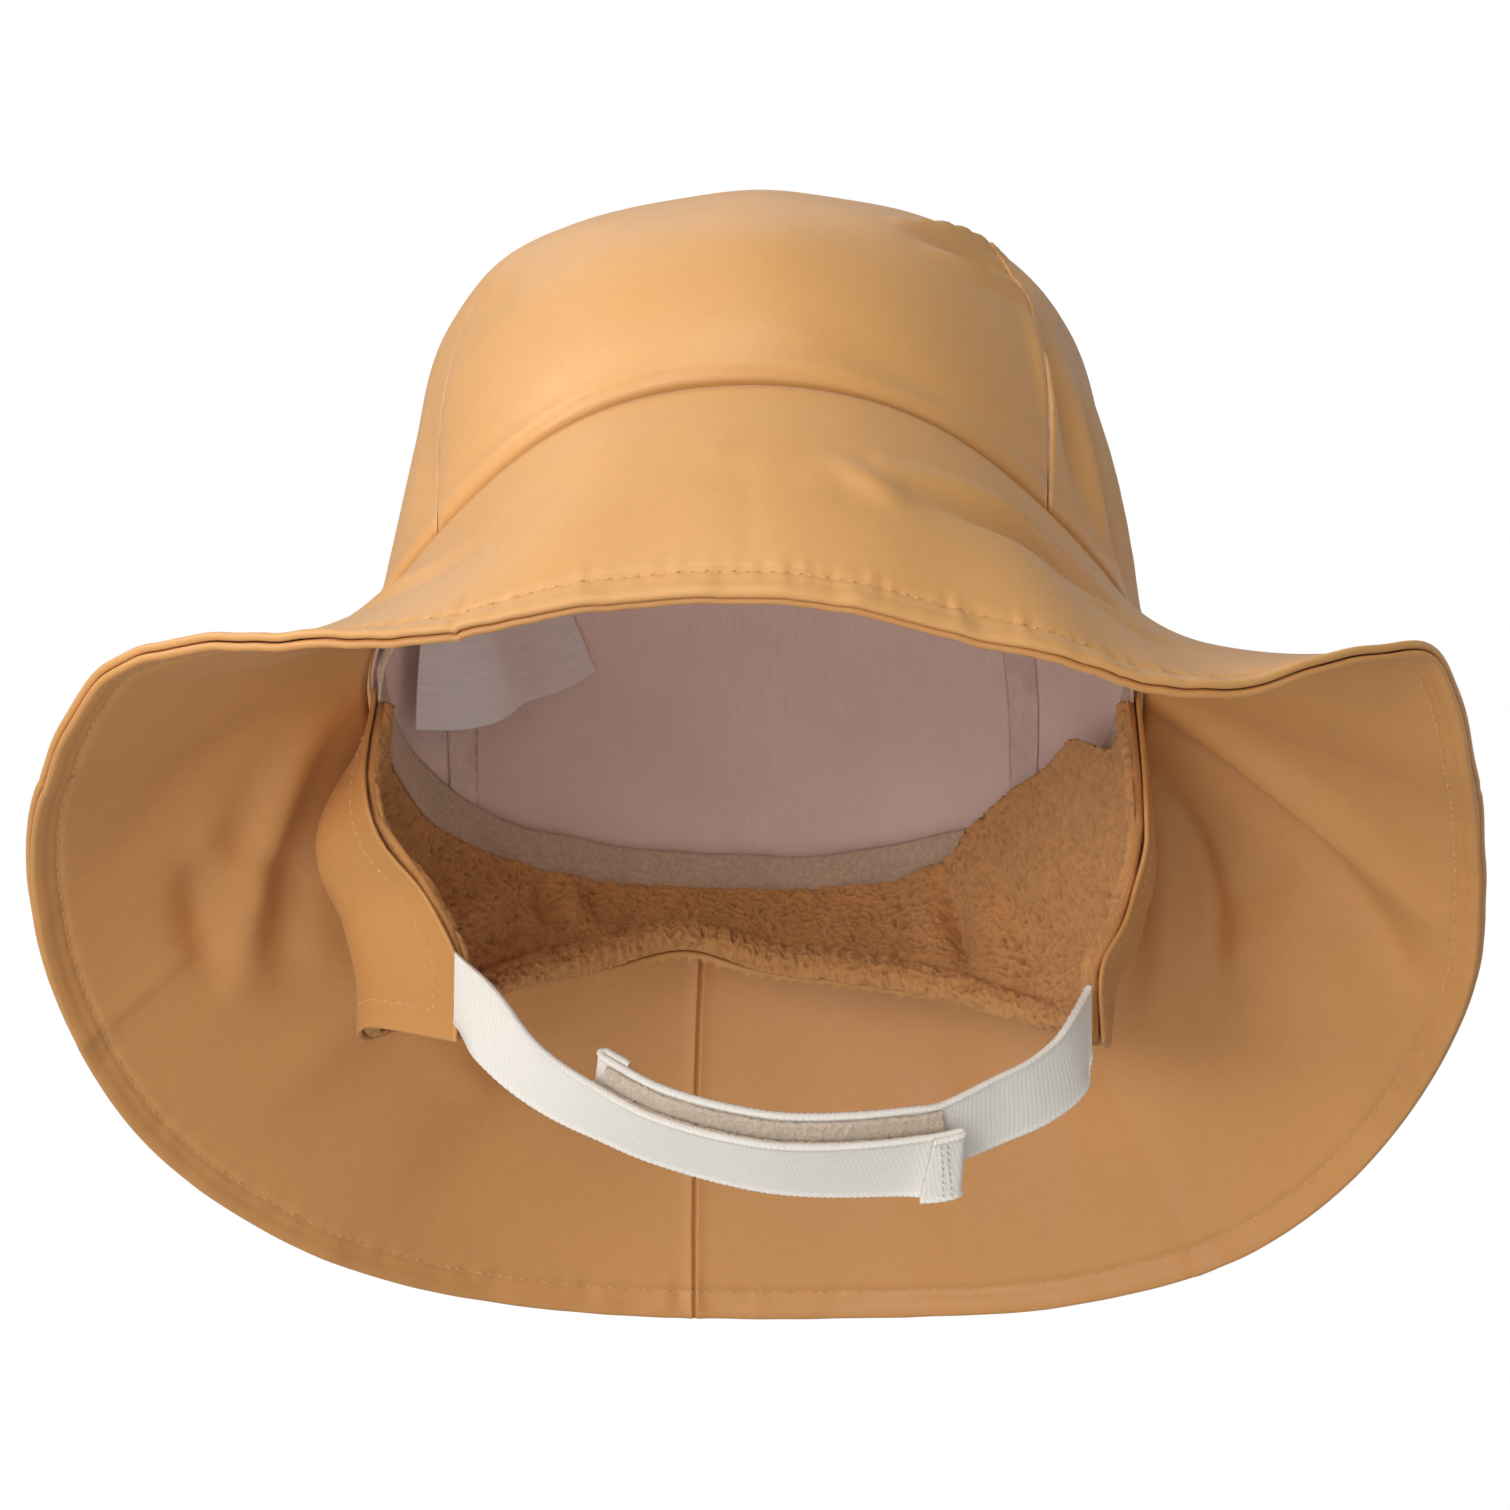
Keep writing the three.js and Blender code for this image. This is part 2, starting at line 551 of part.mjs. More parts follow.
function strapFrame(along, side) {
  const step = 0.005;
  const run = routePoint(along + step).sub(routePoint(along - step)).normalize();
  const tilt = degToRad(read(STRAP_ROUTE, along, 'tilt'));
  const lean = new THREE.Vector3(0, Math.cos(tilt), -Math.sin(tilt));
  const square = THREE.MathUtils.smoothstep(Math.min(along, 1 - along), 0, SEWN_SKEW);
  const across = lean.addScaledVector(run, -square * lean.dot(run)).normalize();
  const normal = new THREE.Vector3().crossVectors(run, across).normalize();
  const part = side < 0
    ? THREE.MathUtils.smoothstep(along, RIGHT_END - 0.2, RIGHT_END)
    : THREE.MathUtils.smoothstep(1 - along, 1 - LEFT_END - 0.2, 1 - LEFT_END);
  const centre = routePoint(along)
    .addScaledVector(normal, (side * part * STACK) / 2)
    .addScaledVector(across, (-side * part * STAGGER) / 2);
  return { centre, across, normal };
}

function addStrap() {
  const leftHalf = (along) => strapFrame(along, -1);
  const rightHalf = (along) => strapFrame(along, 1);
  const elastic = { width: STRAP_WIDTH, low: -ELASTIC / 2, high: ELASTIC / 2 };
  addPiece('chin_strap_left', band(leftHalf, { from: 0.005, to: LEFT_END, count: 26, ...elastic }), COLOURS.elastic);
  addPiece('chin_strap_right', band(rightHalf, { from: RIGHT_END, to: 0.995, count: 26, ...elastic }), COLOURS.elastic);
  const [near, far] = [ELASTIC / 2 + GAP, ELASTIC / 2 + GAP + PATCH];
  const patch = { from: RIGHT_END + 0.01, to: LEFT_END - 0.01, count: 18, width: PATCH_WIDTH };
  addPiece('hook_patch', band(leftHalf, { ...patch, low: near, high: far }), COLOURS.hookAndLoop);
  addPiece('loop_patch', band(rightHalf, { ...patch, low: -far, high: -near }), COLOURS.hookAndLoop);
}

// Care label: a folded ribbon that hangs from the panel seam inside the crown

function labelPoint(along) {
  const column = (name) => read(LABEL_ROUTE, along, name);
  const [degrees, level] = [column('angle'), column('level')];
  const away = faceNormal(crownPoint, degrees, level).multiplyScalar(-CLOTH - GAP - SATIN);
  const point = crownPoint(degrees, level).add(away);
  return point.addScaledVector(outward(degrees), -HEAD_WIDTH * column('off'));
}

function labelFrame(along) {
  const step = 0.01;
  const centre = labelPoint(along);
  const run = labelPoint(Math.min(along + step, 1)).sub(labelPoint(Math.max(along - step, 0))).normalize();
  const lean = faceNormal(crownPoint, read(LABEL_ROUTE, along, 'angle'), read(LABEL_ROUTE, along, 'level'));
  const across = new THREE.Vector3().crossVectors(run, lean).normalize();
  const normal = new THREE.Vector3().crossVectors(run, across);
  return { centre, across, normal };
}

function addLabel() {
  const sheet = { width: LABEL_WIDTH, low: -SATIN / 2, high: SATIN / 2 };
  addPiece('care_label', band(labelFrame, { from: 0, to: 1, count: 16, ...sheet }), COLOURS.label);
}

addCrown();
addBrim();
addTape();
addFlapBand();
addStrap();
addLabel();

export default hat;
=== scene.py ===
# %% [markdown]
# # A child's rain hat, dressed over its CAD model
# The hat is sewn from coated cloth: a crown of three panels, a wide brim of two plies, ear flaps and a
# neck guard lined with fleece, a tape over the seam inside and an elastic chin strap. The CAD model gives
# the places of all of it. This lesson makes each piece again with rolled edges, folds, stitches and pile,
# and gives it a finish. Blender's unit is the metre, +Z is up, and the front of the hat faces -Y.

# %% Load the frame
import math
import random

import bmesh
import bpy
import numpy as np
from mathutils import Matrix, Vector, noise


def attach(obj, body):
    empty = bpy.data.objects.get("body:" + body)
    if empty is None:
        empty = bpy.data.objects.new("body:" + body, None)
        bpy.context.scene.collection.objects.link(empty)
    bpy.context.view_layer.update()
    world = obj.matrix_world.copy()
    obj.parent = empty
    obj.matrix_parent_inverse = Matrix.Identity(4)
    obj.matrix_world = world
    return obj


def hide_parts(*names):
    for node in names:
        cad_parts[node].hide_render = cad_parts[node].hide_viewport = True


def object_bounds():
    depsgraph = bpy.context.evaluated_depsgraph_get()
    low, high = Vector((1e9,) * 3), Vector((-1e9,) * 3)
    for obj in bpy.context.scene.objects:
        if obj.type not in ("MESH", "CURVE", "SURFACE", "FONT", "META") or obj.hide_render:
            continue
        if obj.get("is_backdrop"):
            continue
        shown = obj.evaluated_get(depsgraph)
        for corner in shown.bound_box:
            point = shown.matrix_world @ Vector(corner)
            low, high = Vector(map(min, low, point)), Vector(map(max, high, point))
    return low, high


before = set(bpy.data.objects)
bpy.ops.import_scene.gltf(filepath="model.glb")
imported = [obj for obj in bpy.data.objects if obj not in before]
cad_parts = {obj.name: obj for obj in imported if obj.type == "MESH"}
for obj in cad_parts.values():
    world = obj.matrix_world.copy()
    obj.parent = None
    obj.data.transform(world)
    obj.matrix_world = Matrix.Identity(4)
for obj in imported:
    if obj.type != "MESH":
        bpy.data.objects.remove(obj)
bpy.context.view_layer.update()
scene = bpy.context.scene
random.seed(7)
print("CAD nodes:", sorted(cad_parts))

# %% [markdown]
# ## Camera, floor and light
# The hat is held up as a head would hold it, and the picture is taken from in front and well below, so
# that one looks up under the brim. The camera sees the hat from 1.1 m away with a long lens. Soft lights
# stand high on the left and in front, and weaker ones low on the left reach in under the brim, so that
# the right side stays in shade. The camera sees a pure white room, while the cloth gets a share of it.

# %% Camera
AIM = Vector((0.00105, 0.01434, -0.0205))
DISTANCE, ELEVATION = 1.1, -35
PICTURE_WIDTH = 0.317
elevation = math.radians(ELEVATION)
back = Vector((0, -math.cos(elevation), math.sin(elevation)))
camera = bpy.data.objects.new("camera", bpy.data.cameras.new("camera"))
camera.data.sensor_width = 36
camera.data.lens = camera.data.sensor_width * DISTANCE / PICTURE_WIDTH
camera.location = AIM + back * DISTANCE
camera.rotation_mode = "QUATERNION"
camera.rotation_quaternion = (-back).to_track_quat("-Z", "Y")
camera.data.clip_start, camera.data.clip_end = 0.01, 50
scene.collection.objects.link(camera)
scene.camera = camera
scene.view_settings.view_transform = "Standard"
print("lens", round(camera.data.lens, 1), "mm")


# %% Light
def soft_light(name, place, size, power, colour=(1, 1, 1)):
    """A square area light that shines at the hat."""
    light = bpy.data.lights.new(name, "AREA")
    light.shape, light.size, light.energy, light.color = "SQUARE", size, power, colour
    lamp = bpy.data.objects.new(name, light)
    lamp.location = place
    lamp.rotation_mode = "QUATERNION"
    lamp.rotation_quaternion = (Vector(place) - AIM).to_track_quat("Z", "Y")
    scene.collection.objects.link(lamp)


soft_light("key_light", (-1.2, -1.15, 1.2), 1.2, 5.5, (1, 0.985, 0.96))
soft_light("side_light", (-1.7, -0.5, 1.0), 1.0, 8.5)
soft_light("front_light", (-0.25, -1.7, 0.8), 1.2, 9.8)
soft_light("top_light", (-0.3, 0.2, 1.6), 1.2, 2.4)
soft_light("left_low_light", (-1.3, -0.9, -0.25), 0.6, 6.5)
soft_light("low_light", (-0.6, -1.3, -0.55), 0.6, 5.8)
soft_light("floor_bounce", (-0.15, -0.3, -0.74), 0.8, 1.9)
soft_light("edge_light", (1.3, 0.7, 0.4), 0.9, 2.2)

BELOW, ABOVE = 0.2, 0.28
world = bpy.data.worlds.new("white_room")
world.use_nodes = True
scene.world = world
room = world.node_tree
room.nodes.clear()
seen, felt = (room.nodes.new("ShaderNodeBackground") for _ in range(2))
seen.inputs["Strength"].default_value = 1
for background in (seen, felt):
    background.inputs["Color"].default_value = (1, 1, 1, 1)
direction = room.nodes.new("ShaderNodeSeparateXYZ")
room.links.new(room.nodes.new("ShaderNodeTexCoord").outputs["Generated"], direction.inputs[0])
brightness = room.nodes.new("ShaderNodeMapRange")
for socket, value in (("From Min", -1), ("From Max", 1), ("To Min", BELOW), ("To Max", ABOVE)):
    brightness.inputs[socket].default_value = value
room.links.new(direction.outputs["Z"], brightness.inputs["Value"])
room.links.new(brightness.outputs[0], felt.inputs["Strength"])
rays = room.nodes.new("ShaderNodeLightPath")
choice = room.nodes.new("ShaderNodeMixShader")
room.links.new(rays.outputs["Is Camera Ray"], choice.inputs["Fac"])
room.links.new(felt.outputs[0], choice.inputs[1])
room.links.new(seen.outputs[0], choice.inputs[2])
room.links.new(choice.outputs[0], room.nodes.new("ShaderNodeOutputWorld").inputs[0])

# %% Floor
FLOOR_LEVEL, FLOOR_SIZE = -0.78, 12
bm = bmesh.new()
bmesh.ops.create_grid(bm, x_segments=1, y_segments=1, size=FLOOR_SIZE / 2)
bmesh.ops.translate(bm, verts=bm.verts, vec=(0, 0, FLOOR_LEVEL))
floor_mesh = bpy.data.meshes.new("floor")
bm.to_mesh(floor_mesh)
bm.free()
floor = bpy.data.objects.new("floor", floor_mesh)
scene.collection.objects.link(floor)
floor_finish = bpy.data.materials.new("pale_floor")
floor_finish.use_nodes = True
floor_finish.node_tree.nodes["Principled BSDF"].inputs["Base Color"].default_value = (0.62, 0.62, 0.62, 1)
floor_finish.node_tree.nodes["Principled BSDF"].inputs["Roughness"].default_value = 0.8
floor_mesh.materials.append(floor_finish)
floor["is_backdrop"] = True

# %% [markdown]
# ## The sizes of the hat
# The CAD model was built from these named sizes, and the dressed hat has to lie in the same places, so
# the same names and tables stand here, in metres. A table is a few rows with named columns. Its first
# column says where the row stands, and the others are mostly shares of the sizes above, so the tables
# hold for a larger hat too.

# %% Sizes in metres
HEAD_WIDTH, HEAD_FRONT, HEAD_BACK = 0.164, 0.088, 0.095
SEAM_DIP, CROWN_HEIGHT, CROWN_LEAN = 0.013, 0.089, 0.001
PANEL_WIDTH, PANEL_SHIFT = 0.122, -0.0014
BRIM_FRONT, BRIM_SIDE, BRIM_BACK = 0.065, 0.076, 0.098
FLAP_DROP, FLAP_START, FLAP_PULL = 0.075, 88, 38
TAPE_HEIGHT, STRAP_WIDTH, STRAP_SAG = 0.011, 0.015, 0.039
PATCH_WIDTH, LABEL_WIDTH = 0.013, 0.023
CLOTH, TAPE, FLEECE, ELASTIC, PATCH, SATIN, GAP = 0.0011, 0.0008, 0.003, 0.0012, 0.0012, 0.0005, 0.0003
BRIM_INSET = CLOTH / 2
FLAP_INSET = BRIM_INSET + CLOTH + GAP / 2 + GAP + CLOTH / 2
TAPE_INSET = FLAP_INSET + CLOTH / 2 + GAP + TAPE / 2
BACK_FULL, RIGHT_FULL, FRONT_LOW = 0.04, 0.015, 0.3
DENT_DEPTH = 0.0016
GATHER_FIRST, GATHER_LAST, GATHER_COUNT, GATHER_HEIGHT, GATHER_REACH = 140, 220, 15, 0.3, 0.45
LEFT_END, RIGHT_END, STAGGER, SEWN_SKEW = 0.722, 0.235, 0.004, 0.1
STACK = ELASTIC + 2 * PATCH + 3 * GAP


def table(columns, *rows):
    """A short table as a dictionary of named columns."""
    return dict(zip(columns.split(), np.array(rows, dtype=float).T))


CROWN_RINGS = table(
    "along height width front back corner",
    (0, 1, 0, 0, 0, 0), (0.125, 0.99, 0.28, 0.19, 0.2, 0.03), (0.25, 0.96, 0.515, 0.36, 0.4, 0.06),
    (0.375, 0.876, 0.74, 0.58, 0.63, 0.07), (0.5, 0.71, 0.855, 0.76, 0.79, 0.05),
    (0.65, 0.45, 0.905, 0.95, 0.926, 0), (0.85, 0.14, 0.965, 1.03, 1, -0.06), (1, 0, 1, 1, 1, -0.09),
)
PANEL_SEAM = table("height width", (-0.3, 1), (0.45, 1), (0.73, 0.87), (0.95, 0.62), (1.1, 0.36))
BRIM_SECTIONS = table(
    "angle aim length at_seam at_edge",
    (0, 0, 1, 64, 88), (20, 13, 1, 64, 86), (30, 22, 1, 62, 82), (40, 28, 1, 62, 72), (50, 33, 1, 65, 58),
    (60, 38, 1, 66, 39), (67, 45, 1, 61, 20), (72, 50, 1, 52, 14), (76, 55, 1, 42, 13),
    (80, 62, 0.99, 36, 19), (85, 74, 0.98, 33, 26), (90, 86, 0.985, 25, 32), (97, 97, 1.04, 24, 34),
    (105, 106, 1.11, 25, 35), (120, 122, 1.175, 34, 40), (135, 136, 1.175, 42, 44),
    (150, 150, 1.105, 48, 44), (165, 165, 1.035, 49, 43), (180, 180, 1.005, 50, 42),
    (195, 195, 1.025, 49, 43), (210, 210, 1.07, 48, 44), (225, 224, 1.11, 46, 42), (240, 238, 1.13, 40, 36),
    (255, 253, 1.085, 31, 33), (263, 264, 1.04, 29, 33), (270, 277, 1, 29, 33), (275, 288, 0.99, 33, 32),
    (280, 300, 1, 37, 29), (285, 306, 1, 42, 24), (290, 311, 1, 53, 18), (296, 315, 1, 61, 20),
    (304, 320, 1, 67, 30), (312, 324, 1, 68, 41), (320, 327, 1, 67, 56), (330, 331, 1, 65, 70),
    (340, 339, 1, 61, 82), (360, 360, 1, 64, 88),
)
FLAP_SECTIONS = table(
    "angle drop flare bulge",
    (88, 1, 0, 0), (100, 0.9, 0.01, 0.05), (115, 0.8, 0, 0.06), (130, 0.66, 0, 0.05),
    (140, 0.56, -0.05, 0.03),
    (150, 0.48, -0.085, 0.02), (160, 0.43, -0.11, 0.01), (180, 0.36, -0.12, 0), (192, 0.31, -0.12, 0),
    (204, 0.37, -0.1, 0.01), (212, 0.42, -0.08, 0.02), (220, 0.48, -0.05, 0.03), (232, 0.62, 0, 0.06),
    (245, 0.76, 0.15, 0.12), (260, 0.82, 0.2, 0.13), (272, 1, 0, 0),
)
FLAP_EDGE = table(
    "down back left right",
    (0, 0, 0, 0), (0.4, 0, 0, 0), (0.48, 0.06, 0.04, 0), (0.58, 0.12, 0.14, 0.03), (0.68, 0.14, 0.2, 0.06),
    (0.8, 0.16, 0.25, 0.12), (1, 0.23, 0.25, 0.12),
)
STRAP_ROUTE = table(
    "along across forward fall tilt",
    (0, -0.735, 0.6, 0.015, 66), (0.11, -0.579, 0.8, 0.365, 34), (0.24, -0.373, 0.77, 0.645, 14),
    (0.325, -0.233, 0.79, 0.805, 7), (0.464, 0.017, 0.77, 0.972, 8), (0.53, 0.139, 0.77, 1, 10),
    (0.658, 0.383, 0.77, 0.98, 17), (0.714, 0.487, 0.77, 0.954, 25), (0.805, 0.64, 0.73, 0.764, 37),
    (0.856, 0.716, 0.73, 0.638, 43), (0.913, 0.787, 0.75, 0.463, 50), (1, 0.84, 0.77, 0.18, 62),
)
LABEL_ROUTE = table(
    "along angle level off",
    (0, 214, 0.57, 0.004), (0.25, 223, 0.63, 0.03), (0.5, 236, 0.71, 0.07), (0.62, 242, 0.76, 0.08),
    (1, 257, 0.84, 0.02),
)
CROWN_DENTS = table(
    "angle along depth around across",
    (318, 0.52, 1, 16, 0.1), (62, 0.42, 0.95, 9, 0.05), (70, 0.56, 0.8, 9, 0.06), (30, 0.9, 0.5, 30, 0.05),
)
BRIM_DENTS = table(
    "angle along depth around across",
    (42, 0.35, 1.1, 15, 0.2), (322, 0.5, 0.75, 14, 0.25), (120, 0.6, 0.75, 12, 0.3),
    (236, 0.6, 0.95, 12, 0.3),
)

# %% [markdown]
# ## The cloth's own surfaces
# On the real hat every piece is flat cloth that was sewn into a curved form. Here each piece is a
# surface: a function that turns two numbers, the angle round the head and how far along the piece, into
# a place. They take whole arrays at once, because a loop over every vertex would be slow. A smooth curve
# through a table's rows keeps the folds soft.


# %% Surfaces of crown, brim and flaps
def read(rows, column, place):
    """The values of a table's column at places between its rows, on a smooth curve."""
    keys, values = next(iter(rows.values())), rows[column]
    slope = np.diff(values) / np.diff(keys)
    i = np.clip(np.searchsorted(keys, place) - 1, 0, len(slope) - 1)
    start = (slope[np.maximum(i - 1, 0)] + slope[i]) / 2
    end = (slope[i] + slope[np.minimum(i + 1, len(slope) - 1)]) / 2
    span = keys[i + 1] - keys[i]
    u = (place - keys[i]) / span
    rise = u * u * (3 - 2 * u)
    bend = span * (start * u * (1 - u) ** 2 - end * u * u * (1 - u))
    return values[i] * (1 - rise) + values[i + 1] * rise + bend


def points(x, y, z):
    """Places from their three coordinates."""
    return np.stack(np.broadcast_arrays(x, y, z), axis=-1).astype(float)


def unit(vectors):
    """Vectors made one long. One that has no length points up."""
    length = np.linalg.norm(vectors, axis=-1, keepdims=True)
    return np.where(length > 1e-9, vectors / np.maximum(length, 1e-9), (0.0, 0.0, 1.0))


def turned(degrees, centre):
    """How far round the head a place is from a centre, from -180 to 180 degrees."""
    return (degrees - centre + 180) % 360 - 180


def bell(offset, width):
    """A bell curve: 1 where the offset is 0, and nearly 0 from twice the width on."""
    return np.exp(-((offset / width) ** 2))


def dent_depth(dents, degrees, along):
    """How deep the soft dents of a table are."""
    depth = 0
    for angle, place, deep, around, across in zip(*dents.values()):
        depth = depth + deep * bell(turned(degrees, angle), around) * bell(along - place, across)
    return DENT_DEPTH * depth


def outward(degrees):
    """The level direction straight out at a plan angle."""
    return points(np.sin(np.radians(degrees)), -np.cos(np.radians(degrees)), 0)


def ring_point(degrees, width, front, back, corner):
    """A ring round the head, with shares of the opening's half width, front reach and back reach."""
    facing, sideways = np.cos(np.radians(degrees)), np.sin(np.radians(degrees))
    reach = np.where(facing > 0, HEAD_FRONT * front, HEAD_BACK * back)
    full = np.where(facing > 0, corner, BACK_FULL) * (2 * facing * sideways) ** 2
    x = HEAD_WIDTH / 2 * width * sideways * (1 + full + RIGHT_FULL * sideways)
    return points(x, -reach * facing, 0)


def seam_drop(degrees):
    """How far the seam between crown and brim lies below the origin."""
    facing = np.cos(np.radians(degrees))
    return SEAM_DIP * (1 - facing**2 + np.where(facing > 0, FRONT_LOW * facing**2, 0))


def seam_point(degrees, inset):
    """The seam line, moved inwards by an inset."""
    whole = [CROWN_RINGS[column][-1] for column in ("width", "front", "back", "corner")]
    run = unit(ring_point(degrees + 0.5, *whole) - ring_point(degrees - 0.5, *whole))
    inwards = np.cross((0, 0, 1), run)
    place = ring_point(degrees, *whole) + inwards * np.asarray(inset)[..., None]
    place[..., 2] = -seam_drop(degrees)
    return place


def crown_surface(degrees, along):
    """The crown's outer face, from its top (0) to the seam (1)."""
    columns = ("height", "width", "front", "back", "corner")
    height, *shares = (read(CROWN_RINGS, column, along) for column in columns)
    place = ring_point(degrees, *shares)
    place[..., 0] += CROWN_LEAN * (1 - (1 - height) ** 3)
    place[..., 2] = CROWN_HEIGHT * height - seam_drop(degrees) * (1 - height) ** 2
    return place - outward(degrees) * dent_depth(CROWN_DENTS, degrees, along)[..., None]


def brim_surface(degrees, along):
    """The surface between the brim's two plies, from the seam (0) to the edge (1)."""
    degrees, along = np.broadcast_arrays(np.asarray(degrees) % 360, along)
    facing = np.cos(np.radians(degrees))
    size = BRIM_SIDE + (np.where(facing > 0, BRIM_FRONT, BRIM_BACK) - BRIM_SIDE) * facing**2
    first, last = (np.radians(read(BRIM_SECTIONS, column, degrees)) for column in ("at_seam", "at_edge"))
    bend = np.where(np.abs(last - first) > 0.01, last - first, 0.01)
    here = first + bend * along
    length = size * read(BRIM_SECTIONS, "length", degrees)
    out = length * (np.sin(here) - np.sin(first)) / bend
    down = length * (np.cos(first) - np.cos(here)) / bend
    dent = dent_depth(BRIM_DENTS, degrees, along)
    place = seam_point(degrees, np.full(degrees.shape, BRIM_INSET))
    aim = outward(read(BRIM_SECTIONS, "aim", degrees))
    place = place + aim * (out - dent * np.sin(here))[..., None]
    place[..., 2] -= down + dent * np.cos(here) + GAP + (CLOTH + GAP / 2) * np.cos(first)
    return place


def flap_surface(degrees, along):
    """The middle of the flap band's outer cloth, from the seam (0) to the hem (1)."""
    degrees, along = np.broadcast_arrays(np.asarray(degrees, dtype=float), along)
    side = np.where(degrees > 180, -1, 1)
    flare, bulge = read(FLAP_SECTIONS, "flare", degrees), read(FLAP_SECTIONS, "bulge", degrees)
    spread = FLAP_DROP * (flare * along**2 + bulge * np.sin(np.pi * along))
    place = seam_point(degrees, FLAP_INSET - spread)
    fade = np.minimum((180 - np.abs(degrees - 180) - FLAP_START) / FLAP_PULL, 1)
    pull = FLAP_DROP * (1 - fade) ** 2 * (1 + 2 * fade)
    edge = np.where(side > 0, read(FLAP_EDGE, "right", along), read(FLAP_EDGE, "left", along))
    place[..., 0] -= side * pull * edge
    place[..., 1] += pull * read(FLAP_EDGE, "back", along)
    place[..., 2] -= FLAP_DROP * read(FLAP_SECTIONS, "drop", degrees) * along + 2 * GAP + 2 * CLOTH
    return place


def facing_out(surface, degrees, along, first=-720.0, last=720.0):
    """The direction straight out of a surface at each of its places."""
    step, along = 0.01, np.clip(along, 0, 1)
    down = surface(degrees, np.minimum(along + step, 1)) - surface(degrees, np.maximum(along - step, 0))
    onwards = surface(np.minimum(degrees + 1, last), along) - surface(np.maximum(degrees - 1, first), along)
    return unit(np.cross(down, onwards))

# %% [markdown]
# ## From a surface to a piece of cloth
# Cloth has a thickness, and its edge is round where it is turned in. So each wall is one grid of faces
# that runs down the outer face, round the edge and back up the inner face. bmesh makes the grid with its
# UV map, the vertices are moved to their places all at once, and what meets is welded. Drawing the same
# wall with Solidify would be shorter, but then the edge couldn't swell and the two faces couldn't differ.


# %% Walls of cloth
def wall_rows(down, turns=7):
    """The rows of a wall: how far down each lies, how far it is round the edge, and its side, from 1 on
    the outer face to -1 on the inner one."""
    bend = np.linspace(0, np.pi, turns + 2)[1:-1]
    share = np.concatenate([down, np.full(turns, down[-1]), down[::-1]])
    tip = np.concatenate([np.zeros(len(down)), np.sin(bend), np.zeros(len(down))])
    side = np.concatenate([np.ones(len(down)), np.cos(bend), -np.ones(len(down))])
    return share, tip, side


def rounded_ends(first, last, count, radius, turns=5):
    """Columns from one end of a wall to the other, and how thick each is, so that both ends are round."""
    bend = np.linspace(0, np.pi / 2, turns + 1)[:-1]
    start, full = radius * (1 - np.cos(bend)), np.sin(bend)
    middle = np.linspace(first + radius, last - radius, count)
    columns = np.concatenate([first + start, middle, (last - start)[::-1]])
    return columns, np.concatenate([full, np.ones(count), full[::-1]])


def cloth_grid(places, width, length, second_face=2.0, wrap=True, pile=None):
    """A welded mesh with its vertices at an array of places and a UV map in metres. The faces past
    second_face, a share of the way across, take the piece's second material."""
    if wrap:
        places = np.concatenate([places, places[:, :1]], axis=1)
    columns, rows = places.shape[0] - 1, places.shape[1] - 1
    bm = bmesh.new()
    uv = bm.loops.layers.uv.new("UVMap")
    deep = bm.verts.layers.float.new("pile")
    bmesh.ops.create_grid(bm, x_segments=columns, y_segments=rows, size=0.5, calc_uvs=True)
    for face in bm.faces:
        face.smooth = True
        face.material_index = int(face.calc_center_median().y + 0.5 > second_face)
        for loop in face.loops:
            loop[uv].uv = ((loop.vert.co.x + 0.5) * width, (loop.vert.co.y + 0.5) * length)
    for vert in bm.verts:
        i, j = round((vert.co.x + 0.5) * columns), round((vert.co.y + 0.5) * rows)
        vert.co = places[i, j]
        if pile is not None:
            vert[deep] = pile[i, j % pile.shape[1]]
    bmesh.ops.remove_doubles(bm, verts=bm.verts[:], dist=2e-6)
    bmesh.ops.holes_fill(bm, edges=[edge for edge in bm.edges if edge.is_boundary], sides=0)
    bmesh.ops.recalc_face_normals(bm, faces=bm.faces[:])
    return bm


def add_piece(name, bm, finishes, slot, *nodes):
    """Makes an object of a mesh, gives it its finishes, hangs it on the root body and hides the CAD nodes it
    stands for.
    """
    mesh = bpy.data.meshes.new(name)
    bm.to_mesh(mesh)
    bm.free()
    for finish in finishes:
        mesh.materials.append(finish)
    mesh.polygons.foreach_set("use_smooth", [True] * len(mesh.polygons))
    piece = bpy.data.objects.new(name, mesh)
    scene.collection.objects.link(piece)
    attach(piece, "root")
    if nodes:
        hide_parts(*nodes)
    print(name, len(mesh.polygons), "faces")
    return piece


# %% [markdown]
# ## Folds
# Worn cloth is never quite smooth. A fold is a soft ridge or, with a negative height, a soft valley
# between two places of a surface. Each table lists the folds of one piece: where they start and end, how
# wide they are and how high, in millimetres. Sculpting them by hand would look as good, but a table can
# be read and changed. Simulating cloth wouldn't give just these folds.


# %% Folds
def smooth(values):
    """A soft step from 0 to 1."""
    t = np.clip(values, 0, 1)
    return t * t * (3 - 2 * t)


FOLD_PARTS, MM = 7, 0.001


def fold_height(folds, surface, places):
    """How much the folds of a table lift the cloth at an array of places."""
    height = np.zeros(places.shape[:-1])
    for angle, along, to_angle, to_along, width, rise in zip(*folds.values()):
        parts = np.linspace(0, 1, FOLD_PARTS + 1)
        line = surface(angle + (to_angle - angle) * parts, along + (to_along - along) * parts)
        near, reach = np.full(height.shape, np.inf), 0
        for part, start, end in zip(parts, line[:-1], line[1:]):
            run = end - start
            t = np.clip((places - start) @ run / (run @ run), 0, 1)
            away = np.linalg.norm(places - start - t[..., None] * run, axis=-1)
            reach = np.where(away < near, part + t / FOLD_PARTS, reach)
            near = np.minimum(near, away)
        fade = 0.25 + 0.75 * np.sin(np.pi * reach)
        height += MM * rise * fade * bell(near, MM * width)
    return height


